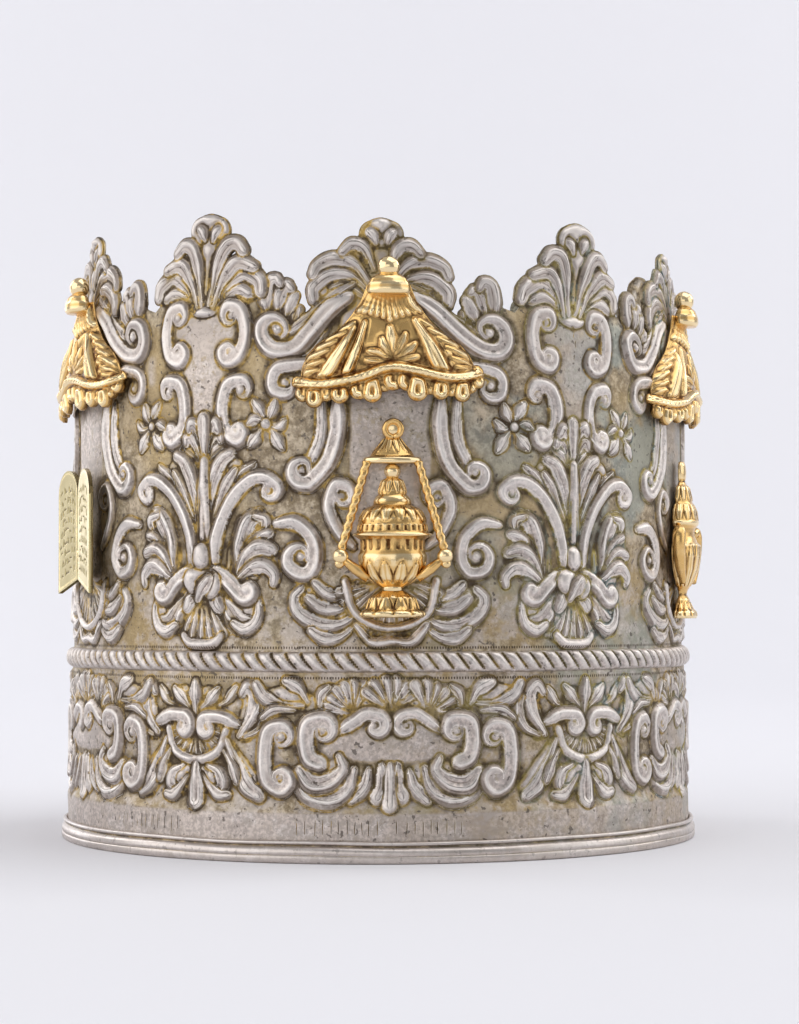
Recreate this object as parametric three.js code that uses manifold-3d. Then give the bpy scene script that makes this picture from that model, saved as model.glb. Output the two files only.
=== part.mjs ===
// Torah crown: a raised silver wall with a cut-out crest on a moulded foot, and on each of its five
// large panels a gilt canopy over a gilt emblem. Millimetres, +Z up, the crown's axis on Z and its
// underside at Z = 0. The front faces -Y. Angles run from the front towards +X.
import * as THREE from "three";
import { mergeVertices } from "three/addons/utils/BufferGeometryUtils.js";
import Module from "manifold-3d";

const wasm = await Module();
wasm.setup();

// ---- Driving dimensions ----

const FOOT_RADIUS = 100;
const FOOT_HEIGHT = 6.4;
const FOOT_FLANGE = 1.2; // flange turned in under the wall
const STRIP_RADIUS = 98; // plain inscribed strip
const BAND_RADIUS = 97; // ground of the lower band
const WALL_RADIUS = 96.2; // ground of the upper wall
const CREST_LEAN = 2.6; // how far the crest bends in at its top
const SHEET = 1.1;
const GAP = 0.3; // between pieces that touch

const STRIP_TOP = 15.2;
const ROPE_HEIGHT = 56.3; // middle of the embossed rope
const ROPE_HALF = 3;
const ROPE_RISE = 1.9;
const CREST_FOOT = 138; // below this every row of the wall is level
const CREST_VALLEY = 152.5;
const CREST_TILT = 2.4; // the crest drops this much to the right and rises as much to the left

const CHASING_DEPTH = 2.6; // largest rise of the chased work over its ground
const COLUMNS = 120;
const FOOT_COLUMNS = 44;

// Large panels carry the gilt work and small ones a plain shield. They alternate, spaced by hand.
const LARGE_PANELS = [1.8, 72, 147, 220, 294];
const SMALL_PANELS = [35.8, 110, 184, 257, 328.5];
const PANEL_NAMES = ["front", "right", "back_right", "back_left", "left"];

const CASTING_AXIS = WALL_RADIUS; // the gilt castings are built round this radius
const SEAT_RADIUS = WALL_RADIUS + 0.6; // and cut off at this one, their back face
const CANOPY_FOOT = 131;
const TABLETS_FOOT = 76;

// Plain ground under the castings: half width and height range beside a large panel's middle.
const CANOPY_GROUND = { halfWidth: 31, from: 119, to: 172 };
const EMBLEM_GROUND = { halfWidth: 21, from: ROPE_HEIGHT + 8 };

const deg = Math.PI / 180;
const clamp01 = (t) => Math.min(1, Math.max(0, t));
const smooth = (t) => clamp01(t) ** 2 * (3 - 2 * clamp01(t));

// ---- Materials ----

const silver = () =>
  new THREE.MeshStandardMaterial({ color: 0xb9b0a6, roughness: 0.34, metalness: 1 });
const gilt = () =>
  new THREE.MeshStandardMaterial({ color: 0xdfb45c, roughness: 0.28, metalness: 1 });

// ---- Solids ----

function solidOf(geometry) {
  const bare = geometry.clone();
  bare.deleteAttribute("normal");
  bare.deleteAttribute("uv");
  const merged = mergeVertices(bare, 1e-4);
  return new wasm.Manifold(
    new wasm.Mesh({
      numProp: 3,
      vertProperties: merged.attributes.position.array,
      triVerts: new Uint32Array(merged.index.array),
    }),
  );
}

function geometryOf(solid) {
  const mesh = solid.getMesh();
  return new THREE.BufferGeometry()
    .setAttribute("position", new THREE.BufferAttribute(mesh.vertProperties.slice(), 3))
    .setIndex(new THREE.BufferAttribute(mesh.triVerts.slice(), 1));
}

const joined = (geometries) =>
  geometries.map(solidOf).reduce((whole, next) => whole.add(next));

// A profile of [radius, height] turned round Z, with its first column at the front.
function turned(profile, segments) {
  const points = profile.map(([radius, height]) => new THREE.Vector2(radius, height));
  return new THREE.LatheGeometry(points, segments).rotateX(Math.PI / 2);
}

// The same on the castings' axis, pressed flat: depth is the share of the radius that stands out.
function pressed(profile, depth, segments = 10) {
  return turned(profile, segments).scale(1, depth, 1).translate(0, -CASTING_AXIS, 0);
}

// A round rod through points of [across, out, up], with out measured from the castings' axis.
function rod(points, radius, steps = 6) {
  const path = new THREE.CatmullRomCurve3(
    points.map(([across, out, up]) => new THREE.Vector3(across, -CASTING_AXIS - out, up)),
  );
  const section = new THREE.Shape().absarc(0, 0, radius, 0, 2 * Math.PI);
  return new THREE.ExtrudeGeometry(section, {
    steps,
    curveSegments: 3,
    bevelEnabled: false,
    extrudePath: path,
  });
}

function ball(across, out, up, radius) {
  return new THREE.SphereGeometry(radius, 6, 3).translate(across, -CASTING_AXIS - out, up);
}

// The mirror image of an unindexed part about X = 0, with its faces turned out again.
function mirrorImage(geometry) {
  const position = geometry.clone().scale(-1, 1, 1).attributes.position;
  const reversed = position.clone();
  for (let index = 0; index < position.count; index += 3) {
    reversed.copyAt(index + 1, position, index + 2);
    reversed.copyAt(index + 2, position, index + 1);
  }
  return new THREE.BufferGeometry().setAttribute("position", reversed);
}

// ---- Crest ----

// Leaf tips along the top edge, as discs of [across from the panel's middle, height, radius].
const LARGE_LOBES = [
  [3.4, 177.7, 4.2],
  [8.3, 171.9, 3.5],
  [15.8, 164.2, 7],
];
const VALLEY_FAN = [
  [26.6, 156.6, 2.8],
  [29.2, 161, 3.2],
  [33, 161.6, 3.9],
];
const SMALL_LOBES = [
  [3.7, 179.4, 4.5],
  [9.3, 173.6, 3.4],
  [13.6, 167.6, 3.8],
  [17.6, 162.4, 4.2],
];

function lobeTop(lobes, across) {
  return lobes.reduce((top, [middle, height, radius]) => {
    const offset = Math.abs(across - middle);
    return offset < radius ? Math.max(top, height + Math.sqrt(radius ** 2 - offset ** 2)) : top;
  }, 0);
}

const turnBetween = (angle, middle) => ((((angle - middle + 180) % 360) + 360) % 360) - 180;

// Distance along the wall from the nearest panel of a set, in millimetres, never negative.
function acrossFrom(panels, angle) {
  const turns = panels.map((middle) => Math.abs(turnBetween(angle, middle)));
  return Math.min(...turns) * deg * WALL_RADIUS;
}

function crestHeight(angle) {
  const fromLarge = acrossFrom(LARGE_PANELS, angle);
  const fromSmall = acrossFrom(SMALL_PANELS, angle);
  const shoulder = CREST_VALLEY + 9 * smooth((23 - fromLarge) / 10);
  const shelf = CREST_VALLEY + 6 * smooth((fromLarge - 26) / 5);
  return Math.max(
    fromLarge < 24 ? shoulder : shelf,
    lobeTop(LARGE_LOBES, fromLarge),
    lobeTop(VALLEY_FAN, fromLarge),
    lobeTop(SMALL_LOBES, fromSmall),
  );
}

const tiltAt = (angle, height) =>
  -CREST_TILT * Math.sin(angle * deg) * clamp01((height - ROPE_HEIGHT) / 126);

// ---- Chased work: its larger masses, from 0 at the ground to 1 at the highest ----

function mound(across, height, [middle, level, halfWidth, halfHeight]) {
  const inside = 1 - ((across - middle) / halfWidth) ** 2 - ((height - level) / halfHeight) ** 2;
  return inside > 0 ? Math.sqrt(inside) : 0;
}

// A rounded ridge from one point to another, for scrolls and ribs.
function ridge(across, height, [across0, height0, across1, height1, half]) {
  const run = across1 - across0;
  const rise = height1 - height0;
  const along = clamp01(
    ((across - across0) * run + (height - height0) * rise) / (run * run + rise * rise),
  );
  const off = Math.hypot(across - across0 - run * along, height - height0 - rise * along) / half;
  return off < 1 ? Math.sqrt(1 - off * off) : 0;
}

const SMALL_MASSES = {
  mounds: [
    [0, 166, 19, 15],
    [0, 121, 8, 6],
    [16, 88, 7, 9],
    [0, 71, 13, 10],
    [15, 73, 6, 9],
    [0, 35, 12, 9],
    [9, 46, 6, 5],
    [10, 22, 8, 6],
  ],
  ridges: [
    [12, 156, 12, 142, 5],
    [9, 138, 8, 122, 5],
    [4, 84, 10, 104, 4],
    [10, 104, 22, 108, 4.5],
    [0, 82, 0, 116, 5],
    [24, 32, 24, 22, 5],
  ],
};
const LARGE_MASSES = {
  mounds: [
    [16, 164, 8, 8],
    [31, 149, 7, 7],
    [30, 134, 5, 5],
    [29, 90, 8, 8],
    [22, 71, 9, 8],
    [37, 121, 8, 8],
  ],
  ridges: [
    [20, 128, 17, 112, 5],
    [17, 112, 24, 107, 5],
    [10, 46, 0, 44, 5],
    [20, 42, 21, 24, 5.5],
    [21, 22, 8, 20, 6],
    [33, 38, 34, 22, 6],
    [0, 26, 0, 17, 5],
  ],
};

function massesAt(masses, across, height) {
  return Math.max(
    ...masses.mounds.map((shape) => mound(across, height, shape)),
    ...masses.ridges.map((shape) => ridge(across, height, shape)),
  );
}

// The gilt castings sit on plain ground.
function underCasting(across, height) {
  if (height > CANOPY_GROUND.from) return across < CANOPY_GROUND.halfWidth && height < CANOPY_GROUND.to;
  return across < EMBLEM_GROUND.halfWidth && height > EMBLEM_GROUND.from;
}

function chasing(angle, height) {
  const fromLarge = acrossFrom(LARGE_PANELS, angle);
  if (underCasting(fromLarge, height)) return 0;
  const large = massesAt(LARGE_MASSES, fromLarge, height);
  const small = massesAt(SMALL_MASSES, acrossFrom(SMALL_PANELS, angle), height);
  return CHASING_DEPTH * Math.max(large, small);
}

// ---- Wall ----

function groundRadius(height) {
  const strip = STRIP_RADIUS - BAND_RADIUS;
  const band = BAND_RADIUS - WALL_RADIUS;
  return (
    WALL_RADIUS +
    band * (1 - smooth((height - ROPE_HEIGHT + 3) / 6)) +
    strip * (1 - smooth((height - STRIP_TOP) / 4)) -
    CREST_LEAN * smooth((height - CREST_FOOT) / 44)
  );
}

function ropeRise(height) {
  const off = Math.abs(height - ROPE_HEIGHT) / ROPE_HALF;
  return off < 1 ? ROPE_RISE * Math.sqrt(1 - off * off) : 0;
}

// Each row has the share of its height that follows the crest, above a level height.
const level = (height, inside = false) => ({ height, share: 0, inside });
const towardsCrest = (share, inside = false) => ({ height: CREST_FOOT, share, inside });
const WALL_BOTTOM = FOOT_FLANGE + GAP;
const WALL_ROWS = [
  level(WALL_BOTTOM),
  level(STRIP_TOP),
  level(23),
  level(34),
  level(44),
  level(ROPE_HEIGHT - ROPE_HALF),
  level(ROPE_HEIGHT),
  level(ROPE_HEIGHT + ROPE_HALF),
  level(70),
  level(80),
  level(92),
  level(106),
  level(122),
  level(CREST_FOOT),
  towardsCrest(0.4),
  towardsCrest(0.75),
  towardsCrest(1),
  towardsCrest(1, true),
  level(CREST_FOOT, true),
  level(ROPE_HEIGHT, true),
  level(WALL_BOTTOM, true),
];

function wallVertex(row, angle) {
  const plain = row.height + row.share * (crestHeight(angle) - CREST_FOOT);
  const height = plain + tiltAt(angle, plain);
  const worked = plain > STRIP_TOP ? Math.max(chasing(angle, plain), ropeRise(plain)) : 0;
  const radius = groundRadius(plain) + (row.inside ? -SHEET : worked);
  return new THREE.Vector3(
    radius * Math.sin(angle * deg),
    -radius * Math.cos(angle * deg),
    height,
  );
}

function crownWall() {
  const rows = [...WALL_ROWS, WALL_ROWS[0]];
  const geometry = turned(rows.map((row) => [WALL_RADIUS, row.height]), COLUMNS);
  const position = geometry.attributes.position;
  for (let column = 0; column <= COLUMNS; column += 1) {
    const angle = ((column % COLUMNS) * 360) / COLUMNS;
    rows.forEach((row, index) => {
      const vertex = wallVertex(row, angle);
      position.setXYZ(column * rows.length + index, vertex.x, vertex.y, vertex.z);
    });
  }
  return geometry;
}

// ---- Foot ----

function footMoulding() {
  const inner = STRIP_RADIUS + 0.5;
  return turned(
    [
      [BAND_RADIUS - 2, 0],
      [FOOT_RADIUS - 0.6, 0],
      [FOOT_RADIUS, 1.6],
      [FOOT_RADIUS - 0.1, 3],
      [FOOT_RADIUS - 0.9, 4.5],
      [FOOT_RADIUS - 0.4, 5.5],
      [FOOT_RADIUS - 0.9, FOOT_HEIGHT],
      [inner, FOOT_HEIGHT],
      [inner, FOOT_FLANGE],
      [BAND_RADIUS - 2, FOOT_FLANGE],
      [BAND_RADIUS - 2, 0],
    ],
    FOOT_COLUMNS,
  );
}

// ---- Gilt castings: across = X, outwards = -Y, seated on the wall ----

const wallCutter = solidOf(
  turned([[0, -10], [SEAT_RADIUS, -10], [SEAT_RADIUS, 200], [0, 200]], 48),
);

function seated(solid) {
  return geometryOf(solid.subtract(wallCutter));
}

const CANOPY = { height: 38, halfWidth: 25, folds: 4, foldRise: 0.07, foldTop: 26, swag: 4 };
const canopyDepth = (up) => 0.23 + 0.5 * smooth((up - 20) / 8); // flat below, rounder at its cap

function canopy() {
  const { height, halfWidth, folds, foldRise, foldTop, swag } = CANOPY;
  const profile = [
    [0, 0],
    [halfWidth * 0.98, 0],
    [halfWidth, 4],
    [halfWidth * 0.86, 10],
    [halfWidth * 0.55, 18],
    [halfWidth * 0.3, 28],
    [5.6, 29.5],
    [6.2, 31.5],
    [3.2, 34],
    [3.4, 36.5],
    [0, height],
  ];
  const geometry = turned(profile, 18);
  const position = geometry.attributes.position;
  for (let index = 0; index < position.count; index += 1) {
    const x = position.getX(index);
    const y = position.getY(index);
    const z = position.getZ(index);
    const low = 1 - clamp01(z / foldTop);
    const round = Math.atan2(x, -y);
    const fold = 1 + foldRise * low * Math.cos(2 * folds * round);
    const lift = swag * low * Math.max(0, 1 - (x / halfWidth) ** 2);
    position.setXYZ(index, x, y * fold * canopyDepth(z), z + lift);
  }
  return seated(solidOf(geometry.translate(0, -CASTING_AXIS, CANOPY_FOOT)));
}

// How far each turned casting stands out, as a share of its radius.
const STAND_OUT = { censer: 0.62, lid: 0.5, laver: 0.6, lampstand: 0.9, turban: 0.42 };

function censer() {
  const body = pressed(
    [
      [0, 68.6],
      [9.2, 68.6],
      [9, 70.6],
      [7, 74],
      [3, 76.8],
      [6, 79],
      [9.6, 83],
      [9.6, 88],
      [9, 91.6],
      [10.8, 92.4],
      [8.8, 97],
      [5, 100.6],
      [4.4, 104],
      [2.2, 108.4],
      [2.6, 111],
      [0, 113.4],
    ],
    STAND_OUT.censer,
  );
  const lid = pressed(
    [
      [0, 112.6],
      [8.2, 112.6],
      [8.2, 114.4],
      [6.4, 115],
      [3, 119],
      [0, 120.4],
    ],
    STAND_OUT.lid,
  );
  const ring = new THREE.TorusGeometry(2.2, 0.8, 4, 8)
    .rotateX(Math.PI / 2)
    .translate(0, -CASTING_AXIS - 1.6, 121.6);
  const knob = { across: 14.6, out: 2, up: 86 };
  const sides = [-1, 1].flatMap((side) => {
    const chain = [
      [side * 6.6, 1.8, 113.6],
      [side * 14.2, 2.2, 87.4],
    ];
    const arm = [
      [side * knob.across, knob.out, knob.up - 0.6],
      [side * 11, 2, 83.2],
      [side * 6, 2, 79.4],
    ];
    return [rod(chain, 1, 1), ball(side * knob.across, knob.out, knob.up, 2), rod(arm, 1.1, 3)];
  });
  return seated(joined([body, lid, ring, ...sides]));
}

function laver() {
  const body = pressed(
    [
      [0, 68],
      [8.6, 68],
      [8.2, 71],
      [3.4, 74.6],
      [4.4, 77.6],
      [9.6, 82],
      [11.2, 88],
      [9.4, 94],
      [9.9, 97],
      [10.4, 98.6],
      [8.4, 103.4],
      [5.2, 106.4],
      [4.6, 110],
      [2.4, 112.6],
      [2.9, 116],
      [0, 118.6],
    ],
    STAND_OUT.laver,
  );
  const handles = [-1, 1].map((side) => {
    const grip = [
      [side * 9, 1.6, 97],
      [side * 14, 2, 95],
      [side * 14, 2, 87],
      [side * 9.6, 1.6, 83],
    ];
    return rod(grip, 1.1);
  });
  return seated(joined([body, ...handles]));
}

function lampstand() {
  const stem = pressed(
    [
      [0, 70],
      [9.6, 70],
      [9, 73],
      [3.2, 77],
      [1.7, 79],
      [2.9, 84],
      [1.7, 86],
      [1.7, 108],
      [3, 109.6],
      [2.4, 113],
      [0, 116],
    ],
    STAND_OUT.lampstand,
  );
  const cupHeight = 110.4;
  const branches = [6, 11, 16].flatMap((reach, order) => {
    const low = 92 - 4 * order;
    return [-1, 1].flatMap((side) => {
      const branch = [
        [0, 1, low],
        [side * reach * 0.8, 1.4, low + 4.5],
        [side * reach, 1.4, cupHeight - 1.4],
      ];
      return [rod(branch, 1.2, 3), ball(side * reach, 1.4, cupHeight, 2.1)];
    });
  });
  return seated(joined([stem, ...branches]));
}

function priestTurban() {
  const cloth = pressed(
    [
      [0, 78],
      [11.5, 78],
      [12, 84],
      [14.4, 87],
      [15, 93],
      [12.8, 100],
      [8, 106],
      [4.6, 108],
      [0, 109.4],
    ],
    STAND_OUT.turban,
    14,
  );
  return seated(solidOf(cloth));
}

// Two round-topped slabs that meet at a spine like an open book, on two posts.
const TABLET = { width: 15.4, height: 37.5, thickness: 1.4, splay: 5, footRise: 4.5, stand: 2.2 };

function lawTablets() {
  const { width, height, thickness, splay, footRise, stand } = TABLET;
  const slab = new THREE.Shape()
    .moveTo(0, footRise)
    .lineTo(width, 0)
    .lineTo(width, height - width / 2)
    .absarc(width / 2, height - width / 2, width / 2, 0, Math.PI, false)
    .lineTo(0, footRise);
  const rightSlab = new THREE.ExtrudeGeometry(slab, {
    depth: thickness,
    bevelEnabled: false,
    curveSegments: 8,
  })
    .rotateX(Math.PI / 2)
    .rotateZ(-splay * deg)
    .translate(-GAP, -CASTING_AXIS - stand, TABLETS_FOOT);
  const postLength = 2 * stand + thickness; // half of it stands inside the wall's radius and is cut off
  const posts = [88, 106].map((up) =>
    new THREE.CylinderGeometry(1.6, 1.6, postLength, 8).translate(0, -CASTING_AXIS, up),
  );
  return seated(joined([rightSlab, mirrorImage(rightSlab), ...posts]));
}

// ---- Assembly ----

const crown = new THREE.Group();

function add(name, geometry, material, parent = crown) {
  const mesh = new THREE.Mesh(geometry, material);
  mesh.name = name;
  parent.add(mesh);
}

add("crown_wall", crownWall(), silver());
add("foot_moulding", footMoulding(), silver());

const EMBLEMS = {
  censer: censer(),
  laver: laver(),
  lampstand: lampstand(),
  priest_turban: priestTurban(),
  law_tablets: lawTablets(),
};

// The emblems are listed in the panels' order.
LARGE_PANELS.forEach((angle, index) => {
  const panel = new THREE.Group();
  panel.rotation.z = angle * deg;
  crown.add(panel);
  add("canopy_" + PANEL_NAMES[index], canopy(), gilt(), panel);
  const [name, geometry] = Object.entries(EMBLEMS)[index];
  add(name, geometry, gilt(), panel);
});

export default crown;
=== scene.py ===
import math

import bpy
import numpy as np
from mathutils import Matrix, Vector


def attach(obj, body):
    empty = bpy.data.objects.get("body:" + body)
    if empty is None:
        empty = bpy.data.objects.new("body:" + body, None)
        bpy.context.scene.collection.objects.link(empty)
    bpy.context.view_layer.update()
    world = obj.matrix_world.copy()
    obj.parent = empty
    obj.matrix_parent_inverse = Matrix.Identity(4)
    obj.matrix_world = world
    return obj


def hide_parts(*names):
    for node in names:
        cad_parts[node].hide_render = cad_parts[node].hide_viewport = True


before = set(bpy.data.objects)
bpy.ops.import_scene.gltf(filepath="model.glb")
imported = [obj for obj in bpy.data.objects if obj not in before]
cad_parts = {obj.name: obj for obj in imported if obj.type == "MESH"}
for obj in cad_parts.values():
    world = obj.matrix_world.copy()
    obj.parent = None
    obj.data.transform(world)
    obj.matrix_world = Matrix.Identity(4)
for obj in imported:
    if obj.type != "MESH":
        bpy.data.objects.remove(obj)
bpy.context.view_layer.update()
print("frame loaded:", len(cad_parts), "cast and raised pieces")

# Everything below is worked out in millimetres. The front of the crown faces -Y, and a place on the wall
# is its distance round from the middle of its own panel and its height above the table.
mm = 0.001
crown = {
    "wall radius": 96.2,
    "band radius": 96.9,
    "strip radius": 98.0,
    "unrolled radius": 97.0,  # round distances are measured at this radius
    "strip top": (13.5, 17.5),  # the plain strip steps in to the band between these heights
    "rope seat": (50, 60),  # and the band steps in to the upper wall between these
    "crest bend": (140, 186),
    "lean in": 3.0,  # the crest bends in by this much at its top
    "tilt": 2.4,  # the crest stands this much lower on the right than in the middle
    "tilt heights": (56.3, 182.3),
    "seat radius": 96.8,
    "seed": 11,
}
largePanels = {"front": 1.8, "right": 72.0, "back_right": 147.0, "back_left": 220.0, "left": -66.0}
smallPanels = [-31.5, 35.8, 110.0, 184.0, 257.0]
chance = np.random.default_rng(crown["seed"])


def roundAt(degrees):
    return math.radians(degrees) * crown["unrolled radius"]


def step(low, high, value):
    t = np.clip((np.asarray(value, float) - low) / (high - low), 0, 1)
    return t * t * (3 - 2 * t)


def bell(value, width):
    return np.exp(-((np.asarray(value, float) / width) ** 2))


def blurred(grid, radius, wraps):
    # a soft copy of a height field, by three box passes each way
    half = max(1, int(round(radius)))
    for axis in (0, 1):
        for _ in range(3):
            mode = "wrap" if wraps and axis == 0 else "edge"
            pad = [(half + 1, half) if a == axis else (0, 0) for a in (0, 1)]
            total = np.cumsum(np.pad(grid, pad, mode=mode), axis=axis)
            size = 2 * half + 1
            if axis == 0:
                grid = (total[size:] - total[:-size]) / size
            else:
                grid = (total[:, size:] - total[:, :-size]) / size
    return grid


def noiseField(shape, cell, wraps, draw):
    # smooth random unevenness: random values on a coarse net, eased between its knots
    rows, columns = (max(2, int(n / cell)) for n in shape)
    net = draw.standard_normal((rows, columns))
    net = np.vstack([net, net[:1]]) if wraps else np.vstack([net, draw.standard_normal((1, columns))])
    net = np.hstack([net, draw.standard_normal((rows + 1, 1))])
    a = np.linspace(0, rows, shape[0], endpoint=False)
    b = np.linspace(0, columns, shape[1], endpoint=False)
    ia, ib = a.astype(int), b.astype(int)
    fa, fb = step(0, 1, a - ia)[:, None], step(0, 1, b - ib)[None, :]
    near = net[ia][:, ib] * (1 - fb) + net[ia][:, ib + 1] * fb
    far = net[ia + 1][:, ib] * (1 - fb) + net[ia + 1][:, ib + 1] * fb
    return near * (1 - fa) + far * fa


# Chased work: each motif is a ribbon with a path, a half width along it and a rounded or hollowed section.
chasing = {
    "leaf spread": 1.2,  # leaves are widened until they meet, scrolls and the crest's outline less
    "scroll spread": 1.07,
    "hand": 0.28,  # how far the hand strays, in millimetres
    "outline depth": 0.45,
    "softness": 0.25,
    "wall unevenness": 0.16,
    "band unevenness": 0.12,
}


def smoothPath(points, widths, spacing=0.7):
    knots = np.array(points, float)
    ends = np.vstack([2 * knots[0] - knots[1], knots, 2 * knots[-1] - knots[-2]])
    pieces = []
    for i in range(len(knots) - 1):
        p, q, r, s = ends[i : i + 4]
        count = max(2, int(math.hypot(*(r - q)) / spacing))
        t = (np.arange(count) / count)[:, None]
        pieces.append(0.5 * (2 * q + (r - p) * t + (2 * p - 5 * q + 4 * r - s) * t**2
                             + (3 * q - p - 3 * r + s) * t**3))
    path = np.vstack(pieces + [knots[-1:]])
    run = np.concatenate([[0], np.cumsum(np.hypot(*np.diff(path, axis=0).T))])
    run /= run[-1]
    half = np.interp(run, np.linspace(0, 1, len(widths)), widths)
    return path, half, run


def curlPoints(end, centre, turn):
    # a volute: points that wind from the end of a scroll in to its centre; turn is +1 anticlockwise
    dx, dz = end[0] - centre[0], end[1] - centre[1]
    size, angle = math.hypot(dx, dz), math.atan2(dz, dx)
    points = []
    for k in range(1, 11):
        t = k / 10
        a, r = angle + turn * math.tau * 0.9 * t, size * (1 - 0.62 * t**1.2)
        points.append((centre[0] + r * math.cos(a), centre[1] + r * math.sin(a)))
    return points


def leaf(points, widths, height=1.9, hollow=0.42, crest=False):
    widths = [widths[0] * 0.6] + list(widths) if hollow and len(points) > 2 else list(widths)
    return dict(points=list(points), widths=widths, height=height, hollow=hollow, crest=crest, kind="raised")


def mass(points, widths, height=1.4, crest=False):
    # a broad low swelling under a group of leaves
    return leaf(points, widths, height, 0, crest)


def scroll(body, width, first=None, last=None, height=2.1, hollow=0.4, taper=0.5, crest=False):
    # first and last are the volutes at its two ends: (across, height, turn)
    points, widths = list(body), [width] * 5
    if first:
        points = curlPoints(body[0], first[:2], first[2])[::-1] + points
        widths = [width * taper * 0.5, width * taper, width * 0.9] + widths
    if last:
        points = points + curlPoints(body[-1], last[:2], last[2])
        widths = widths + [width * 0.9, width * taper, width * taper * 0.5]
    strokes = leaf(points, widths, height, hollow, crest)
    strokes["eyes"] = [v[:2] for v in (first, last) if v]
    strokes["eye"] = width * 0.42
    return strokes


def groove(points, widths, depth=0.9):
    return dict(points=list(points), widths=list(widths), height=depth, hollow=0, crest=False, kind="cut")


def plainField(points, widths, height=0.5):
    return dict(points=list(points), widths=list(widths), height=height, hollow=0, crest=False, kind="plain")


def bead(place, radius, height=1.4):
    return leaf([place, (place[0], place[1] + 0.05)], [radius, radius], height, 0)


def fan(centre, inner, outer, first, last, count, height=1.5, hollow=0.3, fill=0.92, squash=1.0):
    # flutes spread from a centre, angles in degrees, anticlockwise from straight across
    flutes = []
    spread = math.radians(last - first) / max(1, count - 1)
    for k in range(count):
        a = math.radians(first) + spread * k
        reach = [(centre[0] + r * math.cos(a), centre[1] + r * squash * math.sin(a))
                 for r in (inner, (inner + outer) / 2, outer)]
        wide = abs(outer * spread) / 2 * fill
        flutes.append(leaf(reach, [wide * 0.35, wide * 0.75, wide], height, hollow))
    return flutes


def mirrored(strokes):
    other = []
    for stroke in strokes:
        copy = dict(stroke)
        copy["points"] = [(-a, z) for a, z in stroke["points"]]
        if "eyes" in stroke:
            copy["eyes"] = [(-a, z) for a, z in stroke["eyes"]]
        other.append(copy)
    return other


def bothSides(strokes):
    return strokes + mirrored(strokes)


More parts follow.
